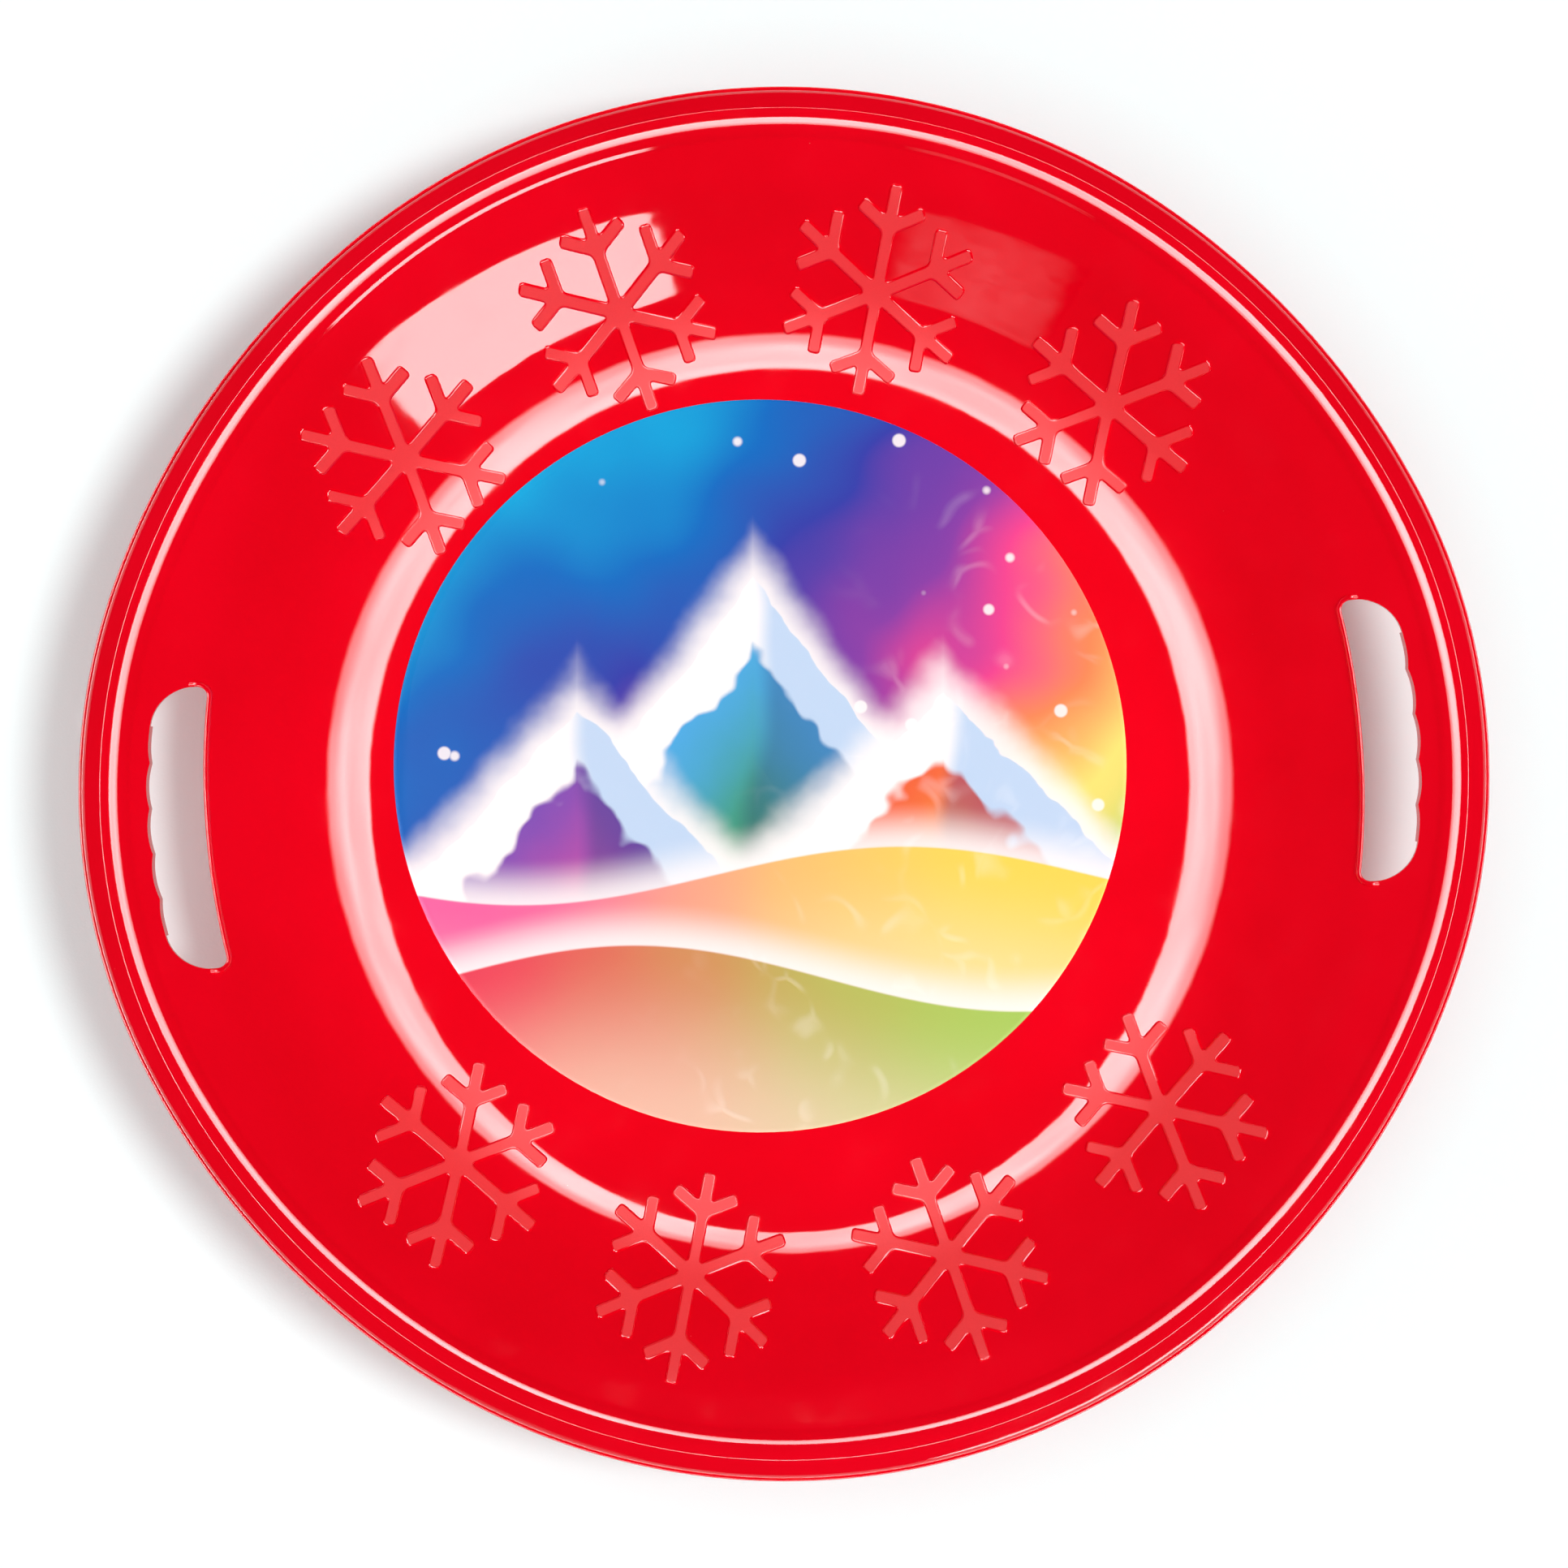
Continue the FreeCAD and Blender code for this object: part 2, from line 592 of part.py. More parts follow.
def add_dish():
    """Join the moulding and its reliefs, and cut the hand slots through."""
    slot = HandSlot()
    add_bowl_block()
    add_rim("AdditivePipe", "rim_block", 1, size("handle_tip"), size("block_height"))
    add_pair(moulding, "grips", slot.draw_grip, "derived.crest_height - derived.grip_base", "grip_base")
    add_bowl_hollow()
    add_rim("SubtractivePipe", "rim_top", 0, size("handle_tip") + size("bead_width"), size("clear_height"))
    doc.recompute()
    slots = add_body("slots")
    add_pair(slots, "slot", slot.draw, "derived.clear_height")
    lip_stamp = add_body("slot_lip_stamp")
    add_pair(lip_stamp, "slot_lip", slot.draw_lip, "derived.clear_height")
    flake_ring = add_flakes(add_flake_stamp())
    doc.recompute()
    form = doc.addObject("Part::MultiFuse", "dish_form")
    form.Shapes = [
        moulding,
        add_relief("slot_lips", lip_stamp, "dims.slot_lip_height"),
        add_relief("flakes", flake_ring, "dims.flake_height"),
    ]
    dish = doc.addObject("Part::Cut", "dish")
    dish.Label = "dish"
    dish.Base = form
    dish.Tool = slots
    return dish


def check(parts):
    """Stop if any object of the document failed, or a sub-part isn't one sound solid."""
    failed = [item.Label for item in doc.Objects if {"Invalid", "Error"} & set(item.State)]
    if failed:
        raise RuntimeError(f"failed objects: {failed}")
    for part in parts:
        shape = part.Shape
        if shape.isNull() or not shape.isValid() or len(shape.Solids) != 1:
            raise RuntimeError(f"{part.Label} is not one sound solid")
        box = shape.BoundBox
        extent = [round(side, 2) for side in (box.XLength, box.YLength, box.ZLength)]
        print(part.Label, extent, f"{shape.Volume:.0f} mm3", len(shape.Faces), "faces")


moulding = add_body("moulding")
parts = [
    add_dish(),
    add_disc("label_adhesive", "dims.wall", "dims.label_adhesive_thickness"),
    add_disc("label_film", "derived.label_film_base", "dims.label_film_thickness"),
]
doc.recompute()
check(parts)
os.makedirs("parts", exist_ok=True)
for part in parts:
    part.Shape.exportStep(f"parts/{part.Label}.step")
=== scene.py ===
"""Saucer sled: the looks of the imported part, in metres, in the frame of its CAD model.

The dish is rebuilt as one smooth shell with its two hand slots cut through. The snowflakes and the lips
of the slots are raised on it, and a printed film lies on the adhesive on its floor.
"""

import logging
import math
from dataclasses import dataclass
from enum import Enum
from typing import NamedTuple, Union

import bmesh
import bpy
from mathutils import Matrix, Vector, noise


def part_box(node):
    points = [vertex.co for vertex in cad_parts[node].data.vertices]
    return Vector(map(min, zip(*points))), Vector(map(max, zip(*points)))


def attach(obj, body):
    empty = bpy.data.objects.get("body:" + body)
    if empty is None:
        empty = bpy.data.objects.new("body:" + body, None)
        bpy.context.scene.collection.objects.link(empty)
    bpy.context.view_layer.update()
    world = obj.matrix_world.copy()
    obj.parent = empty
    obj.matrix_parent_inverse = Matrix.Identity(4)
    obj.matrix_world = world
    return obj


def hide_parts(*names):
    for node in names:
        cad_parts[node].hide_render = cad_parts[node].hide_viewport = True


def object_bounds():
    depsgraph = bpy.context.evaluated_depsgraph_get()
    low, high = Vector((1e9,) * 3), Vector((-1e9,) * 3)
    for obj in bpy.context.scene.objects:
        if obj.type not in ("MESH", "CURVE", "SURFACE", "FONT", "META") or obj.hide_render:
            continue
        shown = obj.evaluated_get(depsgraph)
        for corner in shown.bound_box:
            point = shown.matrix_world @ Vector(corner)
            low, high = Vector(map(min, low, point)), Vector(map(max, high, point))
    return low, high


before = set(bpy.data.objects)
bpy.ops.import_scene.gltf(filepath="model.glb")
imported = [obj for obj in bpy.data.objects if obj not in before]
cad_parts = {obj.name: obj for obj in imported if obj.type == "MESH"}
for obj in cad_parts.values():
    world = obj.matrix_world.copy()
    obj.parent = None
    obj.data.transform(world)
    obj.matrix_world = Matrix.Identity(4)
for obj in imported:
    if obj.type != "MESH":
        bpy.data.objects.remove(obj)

LOG = logging.getLogger("saucer_sled")
CAD_LOW, CAD_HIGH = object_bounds()
MM = 0.001
RIGHT_ANGLE = math.pi / 2
BODY = "root"
UP = Vector((0, 0, 1))
# Arcs of a section turn anticlockwise about this axis when X is to the right and Z is up
SECTION_AXIS = Vector((0, -1, 0))
# A slot's plan times this is the plan on the other side of its middle
MIRROR = Vector((1, -1, 1))
MERGE = 0.001 * MM
# An edge between faces at a larger angle shows as an edge
SHARP = math.radians(50.0)
# The arc of the outer edge that is nearest to a point is found within this many tries
EDGE_TRIES = 3
# Soft noise lies mostly between these values
CLOUD_RANGE = (0.3, 0.7)


class Side(Enum):
    """The two hand slots, each with its turn about the dish's axis."""

    RIGHT = 0.0
    LEFT = math.pi


class Face(Enum):
    """The two faces of the dish's wall, each with its share of the wall's thickness."""

    UPPER = 0.0
    UNDER = 1.0


class Row(Enum):
    """The two rows of snowflakes, each with the direction of its middle."""

    FRONT = RIGHT_ANGLE
    BACK = -RIGHT_ANGLE


class Arc(NamedTuple):
    """One arc of the dish's outer edge."""

    x: float
    y: float
    radius: float


class Steps(NamedTuple):
    """How many edges each stretch of the dish's section has on one face."""

    floor: int
    round: int
    wall: int
    shelf: int
    bead: int


def smooth_step(value: float) -> float:
    """Return a soft ramp from 0 to 1 for a value from 0 to 1."""
    share = min(1.0, max(0.0, value))
    return share * share * (3 - 2 * share)


def soft_lower(first: float, second: float, softness: float) -> float:
    """Return the lower of two heights, rounded off where they meet.

    Args:
        first: one height.
        second: the other height.
        softness: how far apart the heights are where the rounding ends.

    Returns:
        The lower height, less a little near the crease.
    """
    near = max(softness - abs(first - second), 0.0)
    return min(first, second) - near * near / (4 * softness)


def on_circle(centre: Vector, radius: float, angle: float) -> Vector:
    """Return a point of a circle that lies flat."""
    return centre + radius * Vector((math.cos(angle), math.sin(angle), 0))


def turn_of(offset: Vector) -> float:
    """Return the way a flat offset points, in radians from +X."""
    return math.atan2(offset.y, offset.x)


def in_section(radius: float, height: float) -> Vector:
    """Return a point of the section through the dish's axis."""
    return Vector((radius, 0, height))


def turned_in_section(centre: Vector, radius: float, angle: float) -> Vector:
    """Return a point of a circle that stands in the section."""
    return centre + radius * Vector((math.cos(angle), 0, math.sin(angle)))


class Pen:
    """Draws a run of straight and round stretches as edges of a mesh."""

    def __init__(self, mesh: bmesh.types.BMesh, start: Vector, axis: Vector) -> None:
        """Put the pen down.

        Args:
            mesh: the mesh to draw in.
            start: where the run starts.
            axis: the direction that round stretches turn about.
        """
        self.mesh = mesh
        self.axis = axis
        self.tip = bmesh.ops.create_vert(mesh, co=start)["vert"][0]

    def line(self, end: Vector, steps: int = 1) -> None:
        """Draw a straight stretch.

        Args:
            end: where it ends.
            steps: how many edges it has.
        """
        start = self.tip.co.copy()
        for step in range(1, steps + 1):
            self.tip = bmesh.ops.extrude_vert_indiv(self.mesh, verts=[self.tip])["verts"][0]
            self.tip.co = start.lerp(end, step / steps)

    def arc(self, centre: Vector, angle: float, steps: int) -> None:
        """Draw a round stretch.

        Args:
            centre: what it turns about.
            angle: how far it turns.
            steps: how many edges it has.
        """
        made = bmesh.ops.spin(self.mesh, geom=[self.tip], cent=centre, axis=self.axis, angle=angle,
                              steps=steps)
        self.tip = next(item for item in made["geom_last"] if isinstance(item, bmesh.types.BMVert))

    def close(self) -> bmesh.types.BMFace:
        """Join the run's ends, fill it and return its face."""
        bmesh.ops.remove_doubles(self.mesh, verts=self.mesh.verts, dist=MERGE)
        bmesh.ops.contextual_create(self.mesh, geom=list(self.mesh.edges))
        self.mesh.faces.ensure_lookup_table()
        return self.mesh.faces[-1]


@dataclass(frozen=True)
class DishForm:
    """The sizes of the dish, and the heights that follow from them."""

    handle_tip: float = min(CAD_HIGH.x, -CAD_LOW.x)
    front_tip: float = CAD_HIGH.y
    crest_height: float = CAD_HIGH.z
    rim_radius: float = 294.3 * MM
    side_shift: float = 41.0 * MM
    wall: float = 2.5 * MM
    corner_radius: float = 196.2 * MM
    floor_round: float = 75.0 * MM
    wall_angle: float = math.radians(44.0)
    shelf_angle: float = math.radians(33.5)
    crease_softness: float = 1.6 * MM
    bead_width: float = 28.5 * MM
    bead_height: float = 10.0 * MM
    bead_radius: float = 14.5 * MM
    bead_crest_inset: float = 10.5 * MM
    brow_round: float = 0.9 * MM
    flank_angle: float = math.radians(33.0)
    shoulder_round: float = 5.0 * MM
    shoulder_angle: float = math.radians(66.0)
    bead_foot_fillet: float = 10.0 * MM
    lip_width: float = 2.0 * MM
    lip_drop: float = 9.0 * MM
    lip_round: float = 0.4 * MM
    lobe_start_inset: float = 50.0 * MM

    @property
    def foot_height(self) -> float:
        """Return the height of the bead's foot."""
        return self.crest_height - self.bead_height

    @property
    def lip_height(self) -> float:
        """Return the height of the outer lip's top."""
        return self.crest_height - self.lip_drop

    @property
    def floor_radius(self) -> float:
        """Return the radius of the flat floor, from where it would meet the straight wall."""
        return self.corner_radius - self.floor_round * math.tan(self.wall_angle / 2)

    @property
    def round_centre(self) -> Vector:
        """Return the centre of the floor's round in the section."""
        return in_section(self.floor_radius, self.wall + self.floor_round)

    @property
    def wall_foot_radius(self) -> float:
        """Return the radius at which the floor's round becomes the straight wall."""
        return self.floor_radius + self.floor_round * math.sin(self.wall_angle)

    @property
    def bead_centre(self) -> Vector:
        """Return the centre of the bead in the section of a round dish."""
        return in_section(self.rim_radius - self.bead_crest_inset, self.crest_height - self.bead_radius)

    @property
    def foot_centre(self) -> Vector:
        """Return the centre of the hollow at the bead's foot, which touches both bead and shelf."""
        along = in_section(math.cos(self.shelf_angle), math.sin(self.shelf_angle))
        normal = in_section(-math.sin(self.shelf_angle), math.cos(self.shelf_angle))
        foot = in_section(self.rim_radius - self.bead_width, self.foot_height)
        to_bead = self.bead_centre - foot
        drop = to_bead.dot(normal) - self.bead_foot_fillet
        apart = self.bead_radius + self.bead_foot_fillet
        run = to_bead.dot(along) - math.sqrt(apart ** 2 - drop ** 2)
        return foot + along * run + normal * self.bead_foot_fillet

    @property
    def shelf_top(self) -> Vector:
        """Return where the shelf meets the hollow at the bead's foot."""
        return turned_in_section(self.foot_centre, self.bead_foot_fillet, self.shelf_angle - RIGHT_ANGLE)

    def lobe_centre(self, tip: float) -> float:
        """Return how far from the axis a lobe's centre lies, from how far the lobe reaches."""
        reach = tip - self.rim_radius
        return (2 * self.side_shift * reach - reach ** 2) / ((2 - math.sqrt(2)) * self.side_shift - 2 * reach)

    def edge_arc(self, direction: float) -> Arc:
        """Find the arc of the outer edge that faces a direction.

        Args:
            direction: the way the edge faces, in radians from +X.

        Returns:
            The arc's centre and radius.
        """
        across, along = math.cos(direction), math.sin(direction)
        shift = self.side_shift / math.sqrt(2)
        handle = self.lobe_centre(self.handle_tip)
        front = self.lobe_centre(self.front_tip)
        turn = math.atan2(abs(along), abs(across))
        if turn < math.atan2(shift, handle + shift):
            return Arc(math.copysign(handle, across), 0.0, self.handle_tip - handle)
        if RIGHT_ANGLE - turn < math.atan2(shift, front + shift):
            return Arc(0.0, math.copysign(front, along), self.front_tip - front)
        x, y = -math.copysign(shift, across), -math.copysign(shift, along)
        return Arc(x, y, self.rim_radius + self.side_shift)

    def inset(self, x: float, y: float) -> float:
        """Return how far inside the outer edge a point of the plan lies."""
        direction = math.atan2(y, x)
        for _ in range(EDGE_TRIES):
            arc = self.edge_arc(direction)
            direction = math.atan2(y - arc.y, x - arc.x)
        return arc.radius - math.hypot(x - arc.x, y - arc.y)

    def bowl_height(self, radius: float, face: Face = Face.UPPER) -> float:
        """Return the height of the floor, its round and the straight wall at a radius."""
        bend = self.floor_round + face.value * self.wall
        centre = self.round_centre
        straight = centre.x + bend * math.sin(self.wall_angle)
        if radius <= centre.x:
            return centre.z - bend
        if radius <= straight:
            return centre.z - math.sqrt(bend ** 2 - (radius - centre.x) ** 2)
        return centre.z - bend * math.cos(self.wall_angle) + (radius - straight) * math.tan(self.wall_angle)

    def shelf_height(self, inset: float, face: Face = Face.UPPER) -> float:
        """Return the height of the shelf at a distance inside the outer edge."""
        drop = face.value * self.wall / math.cos(self.shelf_angle)
        return self.foot_height - (inset - self.bead_width) * math.tan(self.shelf_angle) - drop

    def height(self, x: float, y: float, face: Face = Face.UPPER) -> float:
        """Return the height of the bowl and shelf at a point of the plan.

        Args:
            x: the point's place along the line through the hand slots.
            y: its place across that line.
            face: which face of the wall is meant.

        Returns:
            The height above the ground.
        """
        radius = math.hypot(x, y)
        bowl = self.bowl_height(radius, face)
        if radius <= self.wall_foot_radius:
            return bowl
        return soft_lower(bowl, self.shelf_height(self.inset(x, y), face), self.crease_softness)

    def round_height(self, radius: float, face: Face) -> float:
        """Return the height of a round dish's bowl and shelf, before its edge is lobed."""
        return min(self.bowl_height(radius, face), self.shelf_height(self.rim_radius - radius, face))

    def lobed(self, point: Vector) -> Vector:
        """Move a point of the round dish to its place on the lobed one.

        Args:
            point: a point of the round dish.

        Returns:
            The point on the dish with its four lobes and the facets that these make in the wall.
        """
        radius = math.hypot(point.x, point.y)
        if radius <= self.wall_foot_radius:
            return point
        direction = turn_of(point)
        arc = self.edge_arc(direction)
        inset = self.rim_radius - radius
        moved = on_circle(Vector((arc.x, arc.y, 0)), arc.radius - inset, direction)
        blend_end = self.rim_radius - self.lobe_start_inset
        share = smooth_step((radius - self.wall_foot_radius) / (blend_end - self.wall_foot_radius))
        place = Vector((point.x, point.y, 0)).lerp(moved, share)
        if inset <= self.bead_crest_inset:
            return Vector((place.x, place.y, point.z))
        middle = (self.round_height(radius, Face.UPPER) + self.round_height(radius, Face.UNDER)) / 2
        face = Face.UPPER if point.z > middle else Face.UNDER
        bowl = self.bowl_height(math.hypot(place.x, place.y), face)
        shelf = self.shelf_height(self.inset(place.x, place.y), face)
        height = soft_lower(bowl, shelf, self.crease_softness)
        if radius > self.shelf_top.x:
            height = point.z + height - min(bowl, shelf)
        return Vector((place.x, place.y, height))


@dataclass(frozen=True)
class SlotForm:
    """The plan of a hand slot, worked out on the +X side."""

    dish: DishForm
    length: float = 121.0 * MM
    width: float = 23.0 * MM
    rim_inset: float = 28.7 * MM
    inner_arc: float = 311.0 * MM
    inner_corner: float = 4.0 * MM
    outer_corner: float = 19.5 * MM
    finger_pitch: float = 19.5 * MM
    finger_hollow: float = 35.0 * MM

    @property
    def half(self) -> float:
        """Return half the slot's length."""
        return self.length / 2

    @property
    def outer_centre(self) -> Vector:
        """Return the centre of the slot's outer side."""
        return Vector((self.dish.lobe_centre(self.dish.handle_tip), 0, 0))

    @property
    def outer_arc(self) -> float:
        """Return the radius of the slot's outer side."""
        return self.dish.handle_tip - self.outer_centre.x - self.rim_inset

    @property
    def inner_centre(self) -> Vector:
        """Return the centre of the slot's inner side."""
        return Vector((self.dish.handle_tip - self.rim_inset - self.width - self.inner_arc, 0, 0))

    def corner_at(self, centre: Vector, distance: float, corner: float) -> Vector:
        """Find the centre of a corner at the slot's upper end.

        Args:
            centre: the centre of the side that the corner rounds off.
            distance: how far from there the corner's centre lies.
            corner: the corner's radius.

        Returns:
            The corner's centre.
        """
        reach = self.half - corner
        return centre + Vector((math.sqrt(distance ** 2 - reach ** 2), reach, 0))

    @property
    def inner_corner_at(self) -> Vector:
        """Return the centre of the slot's upper inner corner."""
        return self.corner_at(self.inner_centre, self.inner_arc + self.inner_corner, self.inner_corner)

    @property
    def outer_corner_at(self) -> Vector:
        """Return the centre of the slot's upper outer corner."""
        return self.corner_at(self.outer_centre, self.outer_arc - self.outer_corner, self.outer_corner)

    @property
    def inner_end(self) -> float:
        """Return the angle at which the inner side meets its corner."""
        return turn_of(self.inner_corner_at - self.inner_centre)

    @property
    def outer_end(self) -> float:
        """Return the angle at which the outer side meets its corner."""
        return turn_of(self.outer_corner_at - self.outer_centre)


class Value:
    """A number that travels along a shader link, with arithmetic that adds Math nodes."""

    def __init__(self, graph: "Graph", socket: bpy.types.NodeSocket) -> None:
        """Keep the socket and the graph that it is in."""
        self.graph = graph
        self.socket = socket

    def __add__(self, other: "Number") -> "Value":
        """Return the sum."""
        return self.graph.math("ADD", self, other)

    __radd__ = __add__

    def __sub__(self, other: "Number") -> "Value":
        """Return the difference."""
        return self.graph.math("SUBTRACT", self, other)

    def __rsub__(self, other: "Number") -> "Value":
        """Return the difference from a number."""
        return self.graph.math("SUBTRACT", other, self)

    def __mul__(self, other: "Number") -> "Value":
        """Return the product."""
        return self.graph.math("MULTIPLY", self, other)

    __rmul__ = __mul__

    def __abs__(self) -> "Value":
        """Return the number without its sign."""
        return self.graph.math("ABSOLUTE", self)

    def step(self, low: float, high: float) -> "Value":
        """Return a soft ramp from 0 at one value to 1 at another."""
        inputs = {"Value": self, "From Min": low, "From Max": high}
        return self.graph.node("ShaderNodeMapRange", {"interpolation_type": "SMOOTHSTEP"}, inputs)


Number = Union[Value, float]
Colour = tuple[float, float, float, float]


class Graph:
    """The nodes of one material."""

    def __init__(self, tree: bpy.types.NodeTree) -> None:
        """Start from an empty tree."""
        self.tree = tree
        tree.nodes.clear()

    def node(self, kind: str, settings: dict | None = None, inputs: dict | None = None,
             output: int | str = 0) -> Value:
        """Add a node.

        Args:
            kind: the node's type.
            settings: its own settings; "stops" are a ramp's places and colours.
            inputs: values or links for its sockets, by name or number.
            output: the socket to return.

        Returns:
            The output socket.
        """
        made = self.tree.nodes.new(kind)
        for name, setting in (settings or {}).items():
            if name == "stops":
                elements = made.color_ramp.elements
                while len(elements) < len(setting):
                    elements.new(1.0)
                for element, (place, colour) in zip(elements, setting):
                    element.position = place
                    element.color = colour
            else:
                setattr(made, name, setting)
        for key, value in (inputs or {}).items():
            if isinstance(value, Value):
                self.tree.links.new(value.socket, made.inputs[key])
            else:
                made.inputs[key].default_value = value
        return Value(self, made.outputs[output])

    def math(self, operation: str, *values: Number) -> Value:
        """Add a Math node."""
        return self.node("ShaderNodeMath", {"operation": operation}, dict(enumerate(values)))

    def mix(self, share: Number, first: Union[Value, Colour], second: Union[Value, Colour]) -> Value:
        """Mix two colours."""
        # A Mix node has sockets for several kinds of value, and these numbers are the colours' ones
        inputs = {0: share, 6: first, 7: second}
        return self.node("ShaderNodeMix", {"data_type": "RGBA"}, inputs, 2)

    def place(self, kind: str = "Object") -> Value:
        """Return the place on the piece, in metres, or in its UV map."""
        return self.node("ShaderNodeTexCoord", output=kind)

    def part(self, place: Value, axis: str) -> Value:
        """Return one coordinate of a place."""
        return self.node("ShaderNodeSeparateXYZ", None, {0: place}, axis)

    def cloud(self, place: Value, grain: float, detail: float = 2.0) -> Value:
        """Return soft noise with grains of a size.

        Args:
            place: the coordinates to read.
            grain: the size of a grain in those coordinates.
            detail: how many finer layers it has.

        Returns:
            A number from 0 to 1.
        """
        inputs = {"Vector": place, "Scale": 1 / grain, "Detail": detail}
        return self.node("ShaderNodeTexNoise", None, inputs)

    def cells(self, place: Value, count: float, feature: str = "F1") -> Value:
        """Return how far a place is from the middle of its random cell, or what the feature says.

        Args:
            place: the coordinates to read.
            count: how many cells there are to a unit of those coordinates.
            feature: what is measured.

        Returns:
            The distance, in cells.
        """
        return self.node("ShaderNodeTexVoronoi", {"feature": feature}, {"Vector": place, "Scale": count})

    def bump(self, height: Value, depth: float) -> Value:
        """Return a normal that follows a height.

        Args:
            height: a number from 0 to 1.
            depth: what a height of 1 stands for, in metres.

        Returns:
            The normal.
        """
        return self.node("ShaderNodeBump", None, {"Height": height, "Distance": depth})

    def show(self, shader: Value, output: str = "ShaderNodeOutputMaterial") -> None:
        """Link a shader to the output node, which is a material's unless another kind is named."""
        self.tree.links.new(shader.socket, self.tree.nodes.new(output).inputs["Surface"])

    def show_surface(self, inputs: dict) -> None:
        """Show a plain surface with the given values of its shader's sockets."""
        self.show(self.node("ShaderNodeBsdfPrincipled", None, inputs))

    def show_glow(self, share: Value, strength: float) -> None:
        """Show a white glow, dimmed to a share of its strength."""
        colour = self.mix(share, paint(0, 0, 0), paint(255, 255, 255))
        self.show(self.node("ShaderNodeEmission", None, {"Color": colour, "Strength": strength}))


def paint(red: int, green: int, blue: int) -> Colour:
    """Return a colour that is given as it shows, from 0 to 255, as light."""
    shares = [channel / 255 for channel in (red, green, blue)]
    # The numbers are those of the standard sRGB curve
    light = [s / 12.92 if s <= 0.04045 else ((s + 0.055) / 1.055) ** 2.4 for s in shares]
    return (*light, 1.0)


def new_graph(name: str) -> tuple[bpy.types.Material, Graph]:
    """Make a material and its empty graph."""
    material = bpy.data.materials.new(name)
    material.use_nodes = True
    return material, Graph(material.node_tree)


@dataclass(frozen=True)
class GlossPlastic:
    """Red moulded plastic with a polished skin."""

    name: str = "gloss_red_plastic"
    colour: Colour = paint(236, 0, 27)
    deep_colour: Colour = paint(228, 0, 23)
    speck_colour: Colour = paint(255, 150, 140)
    roughness: float = 0.04
    haze: float = 0.04
    index: float = 1.46
    mottle_size: float = 90 * MM
    haze_size: float = 22 * MM
    haze_range: tuple[float, float] = (0.48, 0.75)
    ripple_size: float = 14 * MM
    ripple_depth: float = 0.05 * MM
    speck_spacing: float = 24 * MM
    speck_radius: float = 0.012
    speck_share: float = 0.7

    def material(self) -> bpy.types.Material:
        """Build the material and return it."""
        material, graph = new_graph(self.name)
        place = graph.place()
        mottle = graph.cloud(place, self.mottle_size, detail=3.0).step(*CLOUD_RANGE)
        haze = graph.cloud(place, self.haze_size, detail=6.0).step(*self.haze_range)
        speck = graph.cells(place, 1 / self.speck_spacing).step(self.speck_radius, 0.0)
        colour = graph.mix(mottle, self.deep_colour, self.colour)
        ripple = graph.cloud(place, self.ripple_size, detail=1.0)
        graph.show_surface({
            "Base Color": graph.mix(speck * self.speck_share, colour, self.speck_colour),
            "Roughness": haze * self.haze + self.roughness,
            "IOR": self.index,
            "Normal": graph.bump(ripple, self.ripple_depth),
        })
        return material


@dataclass(frozen=True)
class MattGrainPaintedSheen:
    """The fine grain that the mould leaves on top of the snowflakes, in a lighter, pinker red that is partly
    painted sheen.
    """

    name: str = "matt_grain_plastic"
    # The plastic's red, made lighter and pinker than the gloss as painted sheen of the matt top
    colour: Colour = paint(238, 36, 44)
    deep_colour: Colour = paint(228, 24, 32)
    roughness: float = 0.5
    grain_roughness: float = 0.16
    grain_size: float = 0.7 * MM
    grain_depth: float = 0.05 * MM
    index: float = 1.3

    def material(self) -> bpy.types.Material:
        """Build the material and return it."""
        material, graph = new_graph(self.name)
        grain = graph.cloud(graph.place(), self.grain_size, detail=3.0)
        graph.show_surface({
            "Base Color": graph.mix(grain, self.deep_colour, self.colour),
            "Roughness": grain * self.grain_roughness + self.roughness,
            "IOR": self.index,
            "Normal": graph.bump(grain, self.grain_depth),
        })
        return material


